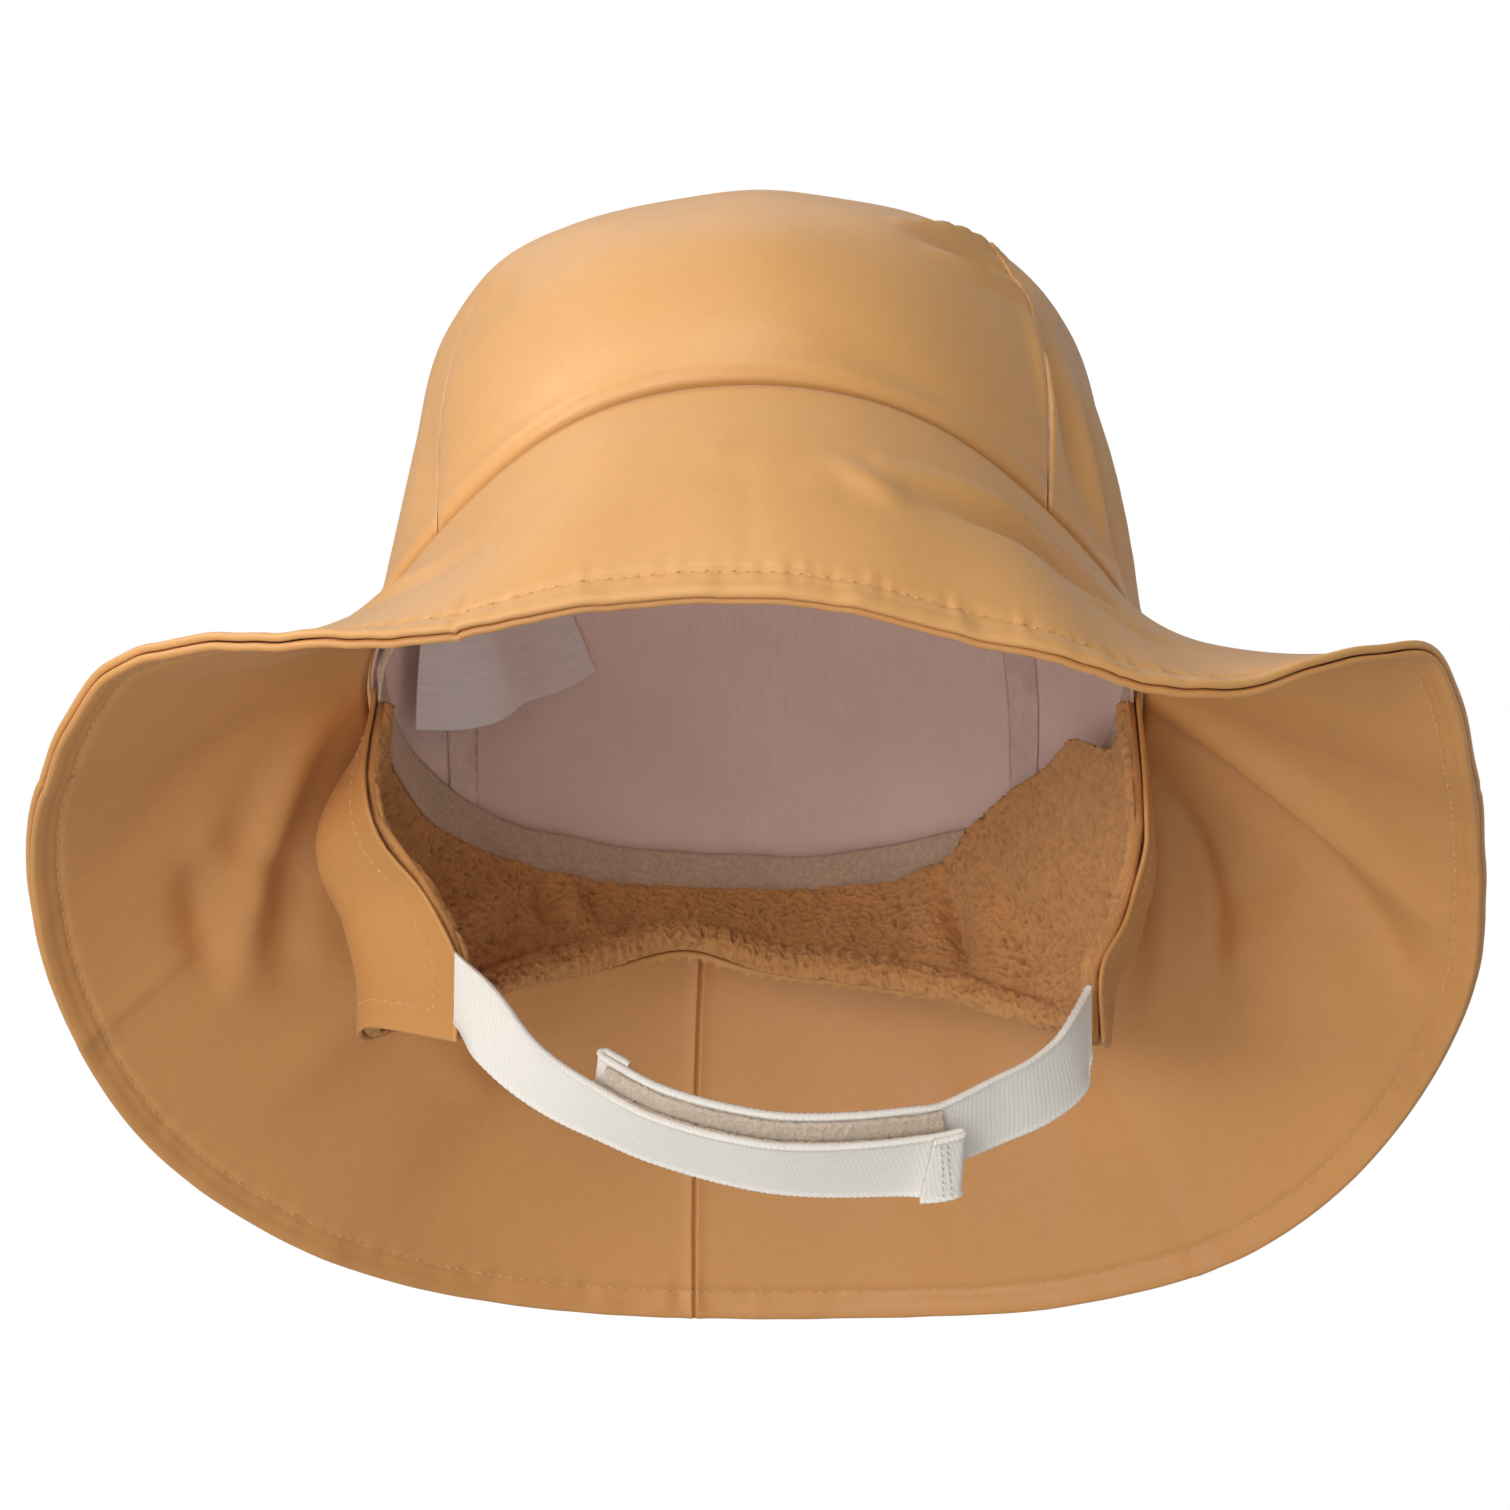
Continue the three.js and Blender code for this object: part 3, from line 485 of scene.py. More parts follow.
def ripple(degrees, *waves):
    """An uneven wave round the head: each wave is how many there are, its share and its start."""
    return sum(share * np.sin(np.radians(degrees) * count + start) for count, share, start in waves)


# %% [markdown]
# ## Thread
# A seam's stitches are short rounded threads that sink into the cloth at both ends. One stitch is a small
# sphere that a matrix stretches, and a whole seam of them is joined into one mesh. A particle system
# could place them too, but it would have to be made real again.


# %% Stitches
def spaced_along(places, pitch):
    """Where to stand to walk along a line of places in even steps: each step's row and the part of it."""
    steps = np.linalg.norm(np.diff(places, axis=0), axis=-1)
    walked = np.concatenate([[0], np.cumsum(steps)])
    stops = np.arange(pitch / 2, walked[-1], pitch)
    return np.interp(stops, walked, np.arange(len(places)))


def at(places, stops):
    """The places at stops between an array's rows."""
    low = np.minimum(stops.astype(int), len(places) - 2)
    part = (stops - low)[:, None]
    return places[low] * (1 - part) + places[low + 1] * part


def small_shape(name, make, **shape):
    """A small mesh, made once by a bmesh operator, to be stamped many times."""
    bm = bmesh.new()
    make(bm, **shape)
    mesh = bpy.data.meshes.new(name)
    bm.to_mesh(mesh)
    bm.free()
    return mesh


def stamp(bm, shape, pose):
    """Adds a copy of a small mesh at a pose."""
    placed = shape.copy()
    placed.transform(pose)
    bm.from_mesh(placed)
    bpy.data.meshes.remove(placed)


one_stitch = small_shape("one_stitch", bmesh.ops.create_uvsphere, u_segments=6, v_segments=5, radius=1)


def sew(bm, places, normals, pitch, length, radius, slant=0.0):
    """Adds a seam's stitches to a mesh, along a line of places."""
    stops = spaced_along(places, pitch)
    middles, ups = at(places, stops), unit(at(normals, stops))
    runs = unit(at(places, np.minimum(stops + 0.4, len(places) - 1)) - at(places, np.maximum(stops - 0.4, 0)))
    for middle, up, run in zip(middles, ups, runs):
        run, up = Vector(run), Vector(up)
        side = up.cross(run).normalized()
        run = (run + side * slant * random.uniform(0.5, 1.5)).normalized()
        side = up.cross(run).normalized()
        size = length * random.uniform(0.92, 1.06)
        axes = Matrix((run * size / 2, side * radius, up * radius)).transposed().to_4x4()
        axes.translation = Vector(middle)
        stamp(bm, one_stitch, axes)


# %% [markdown]
# ## Finishes
# Every finish is made of a few nodes: noise at two scales for the uneven colour that no cloth is without,
# and a fine relief that goes through a Bump node. Object coordinates suit coated cloth and fleece, which
# look the same in every direction. The knit, the elastic and the satin have threads that run along the
# piece, so they read its UV map, which is in metres.


# %% Finish helpers
def new_finish(name, colour, roughness, **sockets):
    """A material with a Principled shader, given back with its node tree and its shader."""
    finish = bpy.data.materials.new(name)
    finish.use_nodes = True
    tree = finish.node_tree
    shader = tree.nodes["Principled BSDF"]
    shader.inputs["Base Color"].default_value = (*colour, 1)
    shader.inputs["Roughness"].default_value = roughness
    for socket, value in sockets.items():
        shader.inputs[socket.replace("_", " ")].default_value = value
    finish.diffuse_color = (*colour, 1)
    return finish, tree, shader


def add_node(tree, kind, inputs=(), **settings):
    """Adds a node, sets it, and links or fills its inputs by name or number."""
    node = tree.nodes.new("ShaderNode" + kind)
    for setting, value in settings.items():
        setattr(node, setting, value)
    for socket, value in dict(inputs).items():
        if isinstance(value, bpy.types.NodeSocket):
            tree.links.new(value, node.inputs[socket])
        else:
            node.inputs[socket].default_value = value
    return node


def noise_value(tree, place, scale, detail=3.0, rough=0.55):
    """A noise from 0 to 1 at a place, with so many features to the metre."""
    inputs = {"Vector": place, "Scale": scale, "Detail": detail, "Roughness": rough}
    return add_node(tree, "TexNoise", inputs).outputs[0]


def shade(tree, value, *stops):
    """A colour for each value: stops are a place from 0 to 1 and a colour."""
    ramp = add_node(tree, "ValToRGB", {0: value})
    while len(ramp.color_ramp.elements) < len(stops):
        ramp.color_ramp.elements.new(0.5)
    for element, (place, colour) in zip(ramp.color_ramp.elements, stops):
        element.position, element.color = place, (*colour, 1)
    return ramp.outputs["Color"]


def mixed(tree, share, first, second, blend="MIX"):
    """Two colours mixed by a share."""
    node = add_node(tree, "Mix", data_type="RGBA", blend_type=blend)
    for socket, value in ((node.inputs[0], share), (node.inputs[6], first), (node.inputs[7], second)):
        if isinstance(value, bpy.types.NodeSocket):
            tree.links.new(value, socket)
        else:
            socket.default_value = value if isinstance(value, float) else (*value, 1)
    return node.outputs[2]


def total(tree, *parts):
    """A sum of values, each a socket and its share."""
    result = None
    for socket, share in parts:
        scaled = add_node(tree, "Math", {0: socket, 1: share}, operation="MULTIPLY").outputs[0]
        result = scaled if result is None else add_node(tree, "Math", {0: result, 1: scaled}).outputs[0]
    return result


def raise_relief(tree, shader, height, depth, strength=1.0):
    """Bump: a height from 0 to 1 that stands for so many metres."""
    bump = add_node(tree, "Bump", {"Height": height, "Distance": depth, "Strength": strength})
    tree.links.new(bump.outputs[0], shader.inputs["Normal"])


def object_place(tree):
    """Object coordinates, in metres."""
    return add_node(tree, "TexCoord").outputs["Object"]


def stretched_uv(tree, across, along):
    """The UV map, which is in metres, with so many repeats to the metre in each direction."""
    place = add_node(tree, "TexCoord").outputs["UV"]
    return add_node(tree, "Mapping", {"Vector": place, "Scale": (across, along, 1)}).outputs[0]


def tint(colour, share):
    """A colour made lighter or darker."""
    return tuple(min(channel * share, 1) for channel in colour)


# %% Coated cloth
def coated_cloth(name, colour, roughness=0.38):
    """Polyurethane coating on knit: a soft sheen, a faint grain and slow changes of shade."""
    finish, tree, shader = new_finish(name, colour, roughness, Sheen_Weight=0.1, Sheen_Roughness=0.35)
    place = object_place(tree)
    slow, fine = noise_value(tree, place, 18, 2), noise_value(tree, place, 420, 3)
    cloudy = shade(tree, slow, (0.3, tint(colour, 0.975)), (0.7, tint(colour, 1.02)))
    worn = shade(tree, fine, (0.35, (0.975, 0.97, 0.96)), (0.6, (1, 1, 1)))
    tree.links.new(mixed(tree, 1.0, cloudy, worn, "MULTIPLY"), shader.inputs["Base Color"])
    patches = noise_value(tree, place, 90, 3)
    dull = shade(tree, patches, (0.3, (roughness - 0.03,) * 3), (0.7, (roughness + 0.04,) * 3))
    tree.links.new(dull, shader.inputs["Roughness"])
    grain = add_node(tree, "TexVoronoi", {"Vector": place, "Scale": 1500.0}, feature="SMOOTH_F1").outputs[0]
    relief = total(tree, (grain, 0.4), (noise_value(tree, place, 700, 3), 0.5), (slow, 3.0))
    raise_relief(tree, shader, relief, 0.00003)
    return finish


CROWN_COLOUR, BRIM_COLOUR = (0.745, 0.385, 0.13), (0.735, 0.38, 0.128)
# The brim's underside and the flaps are the same coated cloth, made darker and deeper in colour: painted
# shade.
UNDER_SHADED_COLOUR, FLAP_SHADED_COLOUR = (0.69, 0.33, 0.105), (0.65, 0.31, 0.095)
crown_coat = coated_cloth("crown_cloth", CROWN_COLOUR)
brim_coat = coated_cloth("brim_cloth", BRIM_COLOUR)
under_shaded_coat = coated_cloth("brim_under_cloth", UNDER_SHADED_COLOUR, 0.43)
flap_shaded_coat = coated_cloth("flap_cloth", FLAP_SHADED_COLOUR, 0.43)


# %% Knit, felt, fleece, elastic and the small pieces
def knit_backing(name, colour):
    """The knitted back of the coated cloth: fine ribs with a soft nap."""
    finish, tree, shader = new_finish(name, colour, 0.9, Sheen_Weight=0.15, Sheen_Roughness=0.5)
    ribs = add_node(tree, "TexWave", {"Vector": stretched_uv(tree, 1, 1), "Scale": 420.0, "Distortion": 1.2,
                                      "Detail": 2.0, "Detail Scale": 3.0}, bands_direction="X").outputs["Fac"]
    place = object_place(tree)
    nap, slow = noise_value(tree, place, 1400, 3), noise_value(tree, place, 35, 3)
    ribbed = shade(tree, ribs, (0.2, tint(colour, 0.975)), (0.8, tint(colour, 1.015)))
    cloudy = shade(tree, slow, (0.3, (0.93, 0.9, 0.89)), (0.7, (1, 1, 1)))
    tree.links.new(mixed(tree, 1.0, ribbed, cloudy, "MULTIPLY"), shader.inputs["Base Color"])
    raise_relief(tree, shader, total(tree, (ribs, 0.5), (nap, 0.6)), 0.00012)
    return finish


def felt(name, colour, nap_scale, depth, sheen=0.3):
    """Matt fuzzy cloth: felt, loop pile or fleece backing."""
    finish, tree, shader = new_finish(name, colour, 1.0, Sheen_Weight=sheen, Sheen_Roughness=0.6)
    place = object_place(tree)
    nap, slow = noise_value(tree, place, nap_scale, 5, 0.7), noise_value(tree, place, 60, 3)
    fuzzy = shade(tree, nap, (0.3, tint(colour, 0.78)), (0.62, tint(colour, 1.12)))
    cloudy = shade(tree, slow, (0.3, (0.88, 0.88, 0.88)), (0.7, (1, 1, 1)))
    tree.links.new(mixed(tree, 1.0, fuzzy, cloudy, "MULTIPLY"), shader.inputs["Base Color"])
    raise_relief(tree, shader, nap, depth)
    return finish


def curly_pile(name, colour, dark):
    """Fleece: the mesh's own pile attribute says how deep a place lies between the tufts, for painted shade
    in the hollows and painted light on the tops.
    """
    finish, tree, shader = new_finish(name, colour, 1.0, Sheen_Weight=0.35, Sheen_Roughness=0.55,
                                      Sheen_Tint=(1, 0.75, 0.5, 1))
    pile = add_node(tree, "Attribute", attribute_name="pile").outputs["Fac"]
    place = object_place(tree)
    nap = noise_value(tree, place, 1500, 4, 0.7)
    depth = total(tree, (pile, 0.85), (nap, 0.25))
    # Painted shade in the hollows between the tufts, and painted light on their tops.
    tuft_shading = shade(tree, depth, (0.0, dark), (0.3, tint(colour, 0.84)), (0.8, tint(colour, 1.1)))
    cloudy = shade(tree, noise_value(tree, place, 70, 2), (0.3, (0.9, 0.9, 0.9)), (0.7, (1, 1, 1)))
    tree.links.new(mixed(tree, 1.0, tuft_shading, cloudy, "MULTIPLY"), shader.inputs["Base Color"])
    raise_relief(tree, shader, nap, 0.0006)
    return finish


def woven_band(name, colour):
    """Woven elastic: fine cords along it, crossed by picks, with painted shade in the hollows."""
    finish, tree, shader = new_finish(name, colour, 0.85, Sheen_Weight=0.2, Sheen_Roughness=0.5)
    slanted = {"Vector": stretched_uv(tree, 1, 0.4), "Scale": 640.0, "Distortion": 0.6}
    picks = add_node(tree, "TexWave", slanted, bands_direction="DIAGONAL").outputs["Fac"]
    straight = {"Vector": stretched_uv(tree, 1, 1), "Scale": 520.0, "Distortion": 0.5}
    cords = add_node(tree, "TexWave", straight, bands_direction="Y").outputs["Fac"]
    fuzz = noise_value(tree, object_place(tree), 1800, 3)
    weave = total(tree, (picks, 0.45), (cords, 0.35), (fuzz, 0.3))
    # Painted shade: the weave's hollows are darker.
    hollow = shade(tree, weave, (0.15, tint(colour, 0.93)), (0.6, colour), (0.9, tint(colour, 1.03)))
    tree.links.new(hollow, shader.inputs["Base Color"])
    raise_relief(tree, shader, weave, 0.00008)
    return finish


def satin(name, colour):
    """Satin ribbon: threads along it give a soft shine in streaks, raised by bump and painted into its
    colour.
    """
    finish, tree, shader = new_finish(name, colour, 0.45, Sheen_Weight=0.3)
    threads = noise_value(tree, stretched_uv(tree, 60, 2600), 1.0, 3)
    # Painted sheen: lighter and darker streaks along the threads.
    painted_shine_streaks = shade(tree, threads, (0.3, tint(colour, 0.9)), (0.7, tint(colour, 1.05)))
    tree.links.new(painted_shine_streaks, shader.inputs["Base Color"])
    raise_relief(tree, shader, threads, 0.00006)
    return finish


def thread(name, colour):
    """Sewing thread: its twisting plies carry painted light and shade."""
    finish, tree, shader = new_finish(name, colour, 0.55, Sheen_Weight=0.3)
    plies = noise_value(tree, object_place(tree), 2600, 2)
    # Painted light and shade on the plies.
    ply_light_and_shade = shade(tree, plies, (0.3, tint(colour, 0.7)), (0.6, tint(colour, 1.1)))
    tree.links.new(ply_light_and_shade, shader.inputs["Base Color"])
    raise_relief(tree, shader, plies, 0.0002)
    return finish


def clear_film(name, colour):
    """Welding tape: a thin glossy film that takes the colour of the knit below it."""
    finish, tree, shader = new_finish(name, colour, 0.28, Coat_Weight=0.6, Coat_Roughness=0.2)
    place = object_place(tree)
    slow = noise_value(tree, place, 160, 3)
    clouded = shade(tree, slow, (0.3, tint(colour, 0.85)), (0.7, tint(colour, 1.1)))
    tree.links.new(clouded, shader.inputs["Base Color"])
    raise_relief(tree, shader, slow, 0.0004)
    return finish


KNIT_COLOUR, TAPE_COLOUR = (0.93, 0.72, 0.65), (0.68, 0.49, 0.34)
# The fleece's hollow colour is painted shade for the deep places between its tufts.
FLEECE_COLOUR, FLEECE_HOLLOW_SHADE = (0.74, 0.34, 0.11), (0.3, 0.1, 0.03)
ELASTIC_COLOUR, PATCH_COLOUR = (0.92, 0.87, 0.79), (0.8, 0.64, 0.48)
knit = knit_backing("knit_backing", KNIT_COLOUR)
tape_felt = felt("seam_tape", TAPE_COLOUR, 900, 0.0004)
fleece_pile = curly_pile("fleece", FLEECE_COLOUR, FLEECE_HOLLOW_SHADE)
elastic = woven_band("woven_elastic", ELASTIC_COLOUR)
patch_pile = felt("hook_and_loop", PATCH_COLOUR, 1600, 0.0006, 0.4)
label_satin = satin("label_satin", (0.92, 0.87, 0.88))
tan_thread = thread("tan_thread", (0.74, 0.42, 0.17))
cream_thread = thread("cream_thread", (0.8, 0.72, 0.6))
film = clear_film("clear_film", (0.8, 0.62, 0.54))

# %% [markdown]
# ## Crown
# Three panels, cut from coated knit and sewn with their edges turned in. The cloth bulges a little above
# the seam with the brim and dives into it. The crown is made whole first, so that the folds run across the
# seams, and then a copy is cut for each panel. The cut is a plane: the panel seam leans in towards the
# top, so the mesh is stretched sideways until the seam stands straight, cut, and let go again.

# %% The whole crown
CROWN_FOLDS = table(
    "angle along to_angle to_along width rise",
    (23, 0.54, 46, 0.46, 1.9, 2.6), (29, 0.61, 50, 0.58, 2.0, 2.4), (26, 0.57, 48, 0.52, 2.4, -2.6),
    (49, 0.6, 55, 0.82, 3, 1.6), (54, 0.62, 61, 0.86, 3, -2.0), (60, 0.64, 69, 0.94, 2.8, 2.0),
    (67, 0.6, 75, 0.95, 3, -1.8), (76, 0.6, 82, 0.94, 3.4, 1.6), (88, 0.62, 90, 0.93, 4, -1.2),
    (300, 0.5, 316, 0.64, 9, -1.2), (322, 0.42, 336, 0.58, 9, 0.9), (292, 0.66, 300, 0.9, 7, -1.0),
    (8, 0.84, 34, 0.93, 6, -0.7), (340, 0.88, 6, 0.93, 6, -0.4), (12, 0.5, 24, 0.62, 11, 0.7),
    (200, 0.6, 214, 0.9, 7, 1.0), (232, 0.62, 240, 0.92, 7, -1.1),
    (150, 0.58, 146, 0.92, 6, 1.4), (130, 0.6, 124, 0.9, 6, -1.3), (176, 0.62, 172, 0.94, 8, -0.9),
)
SEAM_BULGE, SEAM_TURN = 0.0009, 0.0016
CROWN_COLUMNS, CROWN_GIRTH, CROWN_SLOPE = 360, 0.56, 0.083


def crown_cloth(degrees, share, tip=0.0, side=1.0):
    """The crown's cloth with its folds: side is 1 on the outer face and -1 on the lining."""
    along = share + tip * CLOTH / 2 / CROWN_SLOPE
    places = crown_surface(degrees, along)
    lift = fold_height(CROWN_FOLDS, crown_surface, places) + (side - 1) * CLOTH / 2
    lift += SEAM_BULGE * bell(along - 0.95, 0.035) - SEAM_TURN * smooth((along - 0.98) / 0.02)
    waves = ripple(degrees, (5, 1, 0.4), (9, 0.6, 2.1), (14, 0.5, 1.2))
    lift += 0.0003 * waves * np.sin(np.pi * np.clip(along, 0, 1)) ** 2
    return places + facing_out(crown_surface, degrees, along) * lift[..., None]


CROWN_DOWN = np.concatenate([np.linspace(0, 0.9, 70), np.linspace(0.9, 1, 17)[1:]])
crown_rows = [rows[None] for rows in wall_rows(CROWN_DOWN)]
crown_columns = np.linspace(0, 360, CROWN_COLUMNS + 1)[:, None]
whole_crown = cloth_grid(crown_cloth(crown_columns, *crown_rows), CROWN_GIRTH, 0.26, 0.5, wrap=False)
print("crown", len(whole_crown.verts), "vertices before it is cut")

# %% The panels
SHOULDER, SHOULDER_DROP, FLAT_DROP = 0.0014, 0.0007, 0.0002
RIDGE_PLACE, RIDGE_WIDTH = 0.0005, 0.0004
ALLOWANCE, ALLOWANCE_RISE = 0.0035, 0.0006
HALF_PANEL = PANEL_WIDTH / 2
CUTS = (0.0, 0.0003, 0.0007, 0.0012, 0.0018, 0.0026, 0.0035)


def stretched(bm, back=False):
    """Stretches a mesh sideways until the panel seams stand at x = -1 and x = 1, or back again."""
    places = np.array([vert.co for vert in bm.verts])
    width = read(PANEL_SEAM, "width", places[:, 2] / CROWN_HEIGHT) * HALF_PANEL
    places[:, 0] = places[:, 0] * width + PANEL_SHIFT if back else (places[:, 0] - PANEL_SHIFT) / width
    for vert, place in zip(bm.verts, places):
        vert.co = place


def cut(bm, x, **clear):
    """Cuts a stretched mesh with an upright plane, and clears the side that isn't wanted."""
    geometry = bm.verts[:] + bm.edges[:] + bm.faces[:]
    bmesh.ops.bisect_plane(bm, geom=geometry, dist=1e-7, plane_co=(x, 0, 0), plane_no=(1, 0, 0), **clear)


def seam_shoulders(bm, ridge):
    """Lets the cloth dive into its seams outside, and stand over the turned-in edges inside."""
    rises = []
    for vert in bm.verts:
        away = abs(abs(vert.co.x) - 1) * HALF_PANEL
        lining = any(face.material_index == 1 for face in vert.link_faces)
        if lining:
            rise = ALLOWANCE_RISE * float(smooth((ALLOWANCE - away) / 0.0012))
        else:
            drop = SHOULDER_DROP if vert.co.x > 0 else FLAT_DROP
            rise = -drop * max(1 - away / SHOULDER, 0) ** 2
            rise += ridge * float(bell(away - RIDGE_PLACE, RIDGE_WIDTH)) * (vert.co.x > 1)
        rises.append(rise)
    return rises


def crown_panel(name, low, high, ridge=0.0):
    """Cuts one panel out of a copy of the whole crown."""
    bm = whole_crown.copy()
    stretched(bm)
    for seam, inner in ((low, 1), (high, -1)):
        if seam is None:
            continue
        for step in CUTS[1:]:
            cut(bm, seam + inner * step / HALF_PANEL)
        hair = inner * 0.00006 / HALF_PANEL
        cut(bm, seam + hair, clear_inner=inner > 0, clear_outer=inner < 0)
    flat = [vert.co.copy() for vert in bm.verts]
    stretched(bm, back=True)
    bm.normal_update()
    true_places = [vert.co.copy() for vert in bm.verts]
    true_normals = [vert.normal.copy() for vert in bm.verts]
    for vert, place in zip(bm.verts, flat):
        vert.co = place
    rises = seam_shoulders(bm, ridge)
    for vert, place, normal, rise in zip(bm.verts, true_places, true_normals, rises):
        vert.co = place + normal * rise
    bmesh.ops.holes_fill(bm, edges=[edge for edge in bm.edges if edge.is_boundary], sides=0)
    bmesh.ops.recalc_face_normals(bm, faces=bm.faces[:])
    return add_piece(name + "_cloth", bm, (crown_coat, knit), "crown_cloth", name)


crown_panel("crown_side_panel_left", None, -1)
crown_panel("crown_centre_panel", -1, 1)
crown_panel("crown_side_panel_right", 1, None, ridge=0.0005)

# %% [markdown]
# ### Welded seams
# The panel seams are made watertight by a clear glossy tape, pressed over them inside. It is cut from
# the crown's own lining, so it follows every fold: a strip on both sides of the seam, moved a hair
# towards the head and given a thickness.

# %% Welding tape
FILM_WIDTH, FILM = 0.0056, 0.0003


def welding_tape(name, seam):
    """A strip of the lining along a panel seam."""
    bm = whole_crown.copy()
    stretched(bm)
    outside = [face for face in bm.faces if face.material_index == 0]
    bmesh.ops.delete(bm, geom=outside, context="FACES")
    cut(bm, seam - FILM_WIDTH / 2 / HALF_PANEL, clear_inner=True)
    cut(bm, seam + FILM_WIDTH / 2 / HALF_PANEL, clear_outer=True)
    stretched(bm, back=True)
    bm.normal_update()
    for vert in bm.verts:
        vert.co += vert.normal * (ALLOWANCE_RISE + 0.0002)
    bmesh.ops.solidify(bm, geom=bm.faces[:], thickness=-FILM)
    bmesh.ops.recalc_face_normals(bm, faces=bm.faces[:])
    add_piece(name, bm, (film,), "crown_cloth")


welding_tape("welded_tape_left", -1)
welding_tape("welded_tape_right", 1)
whole_crown.free()

# %% [markdown]
# ## Brim
# Two plies of coated cloth, sewn face to face round the edge, turned right side out and stitched down a
# few millimetres in. So the edge shows two round rolls with a dark line between them, and the stitching
# lies in a shallow channel with small puckers beside it. Both plies share one set of folds, so they never
# touch. The columns stand closer at the back, where a seam joins the ends of the brim.

# %% The brim's two plies
BRIM_FOLDS = table(
    "angle along to_angle to_along width rise",
    (356, 0.38, 8, 0.5, 3, 1.5), (358, 0.5, 12, 0.58, 3.5, -1.5), (10, 0.42, 20, 0.55, 3, 1.4),
    (18, 0.38, 58, 0.26, 3, 2.4), (22, 0.46, 60, 0.36, 3.4, -3.2), (330, 0.2, 345, 0.6, 9, -0.9),
    (90, 0.03, 102, 0.85, 5, -4.6), (96, 0.1, 108, 0.85, 5, 4.6), (107, 0.12, 124, 0.5, 4, 4.4),
    (114, 0.14, 134, 0.5, 5, -2.8), (140, 0.2, 150, 0.8, 9, 1.6), (165, 0.2, 160, 0.9, 9, -1.2),
    (200, 0.15, 212, 0.8, 10, 1.2), (224, 0.15, 232, 0.7, 8, -1.8), (268, 0.15, 243, 0.58, 5, -4.2),
    (258, 0.56, 246, 0.62, 4.5, 3.6), (252, 0.3, 238, 0.5, 5, 2.6), (276, 0.2, 262, 0.8, 9, 1.4),
    (304, 0.2, 312, 0.7, 8, 0.8), (76, 0.1, 84, 0.7, 6, -0.8),
)
BACK_SEAM = table("along angle", (0, 187.3), (0.2, 186.9), (1, 184.9))
SEAM_GROOVE, SEAM_SHOULDER = 0.0013, 0.0005
STITCH_INSET, EDGE_ROLL = 0.0055, 1.5
EDGE_WAVE, CHANNEL_DEPTH, PUCKER = 0.00016, 0.0005, 0.0001
brim_columns = np.unique(np.concatenate([np.linspace(0, 360, 541), np.linspace(183.6, 187.8, 71)]))[:, None]
BRIM_DOWN = np.concatenate([np.linspace(0, 0.84, 30), np.linspace(0.84, 1, 26)[1:]])


def brim_length(degrees):
    """The length of the brim's cloth from seam to edge."""
    facing = np.cos(np.radians(degrees))
    size = BRIM_SIDE + (np.where(facing > 0, BRIM_FRONT, BRIM_BACK) - BRIM_SIDE) * facing**2
    return size * read(BRIM_SECTIONS, "length", degrees % 360)


def brim_cloth(degrees, share, tip, side, ply):
    """A ply of the brim, which is 1 for the upper one and -1 for the lower one."""
    length = brim_length(degrees)
    inwards = (1 - share) * length
    thick = CLOTH * (1 + (EDGE_ROLL - 1) * smooth((0.0035 - inwards) / 0.0025))
    along = share + (tip * thick / 2) / length
    places = brim_surface(degrees, along)
    lift = fold_height(BRIM_FOLDS, brim_surface, places)
    lift += 0.0005 * ripple(degrees, (4, 1, 1), (11, 0.7, 0.3), (19, 0.4, 2)) * smooth(share * 2)
    wave = ripple(degrees, (34, 1, 0), (57, 0.6, 1.3), (83, 0.5, 2.2)) * bell(inwards - 0.002, 0.004)
    lift += EDGE_WAVE * wave
    seam = np.radians(turned(degrees, read(BACK_SEAM, "angle", along)))
    away = seam * np.hypot(places[..., 0], places[..., 1])
    outer = SEAM_SHOULDER * bell(away, 0.0022) - SEAM_GROOVE * bell(away, 0.00042)
    outer -= CHANNEL_DEPTH * bell(inwards - STITCH_INSET, 0.0009)
    pucker = ripple(degrees, (131, 1, 0), (173, 0.8, 1), (97, 0.7, 2))
    outer += PUCKER * pucker * bell(inwards - STITCH_INSET, 0.0032)
    lift = lift + ply * (GAP / 2 + thick / 2 + side * ply * thick / 2 + outer * (side * ply > 0))
    return places + facing_out(brim_surface, degrees, along) * lift[..., None]


for name, ply, coat, slot in (
    ("brim_upper", 1, brim_coat, "brim_cloth"),
    ("brim_under", -1, under_shaded_coat, "brim_under_cloth"),
):
    rows = [row[None] for row in wall_rows(BRIM_DOWN)]
    bm = cloth_grid(brim_cloth(brim_columns, *rows, ply), 0.85, 0.17)
    add_piece(name + "_ply", bm, (coat,), slot, name)

# %% The brim's stitches
STITCH, STITCH_PITCH, THREAD = 0.0018, 0.0026, 0.00024
walk = np.linspace(0, 360, 1441)
row = 1 - STITCH_INSET / brim_length(walk)
bm = bmesh.new()
for ply in (1, -1):
    line = brim_cloth(walk, row, 0.0, float(ply), ply)
    sew(bm, line, facing_out(brim_surface, walk, row) * ply, STITCH_PITCH, STITCH, THREAD)
add_piece("brim_stitches", bm, (tan_thread,), "brim_cloth")

# %% [markdown]
# ## Seam tape
# A felted tape covers the seam round the head. It is a ring of its own cloth, a little wavy, and short
# hairs stand out of its cut lower edge. Hairs could be a hair system, but a few hundred thin cones are
# plain mesh.

# %% The tape and its hairs
def tape_surface(degrees, along):
    """The tape's middle, from its upper edge (0) to its lower edge (1)."""
    degrees, along = np.broadcast_arrays(degrees, along)
    place = seam_point(degrees, np.full(degrees.shape, TAPE_INSET))
    place[..., 2] += TAPE_HEIGHT * (0.5 - along)
    place[..., 2] += 0.0004 * ripple(degrees, (7, 1, 0), (13, 0.7, 1), (23, 0.5, 2)) * (2 * along - 1)
    return place


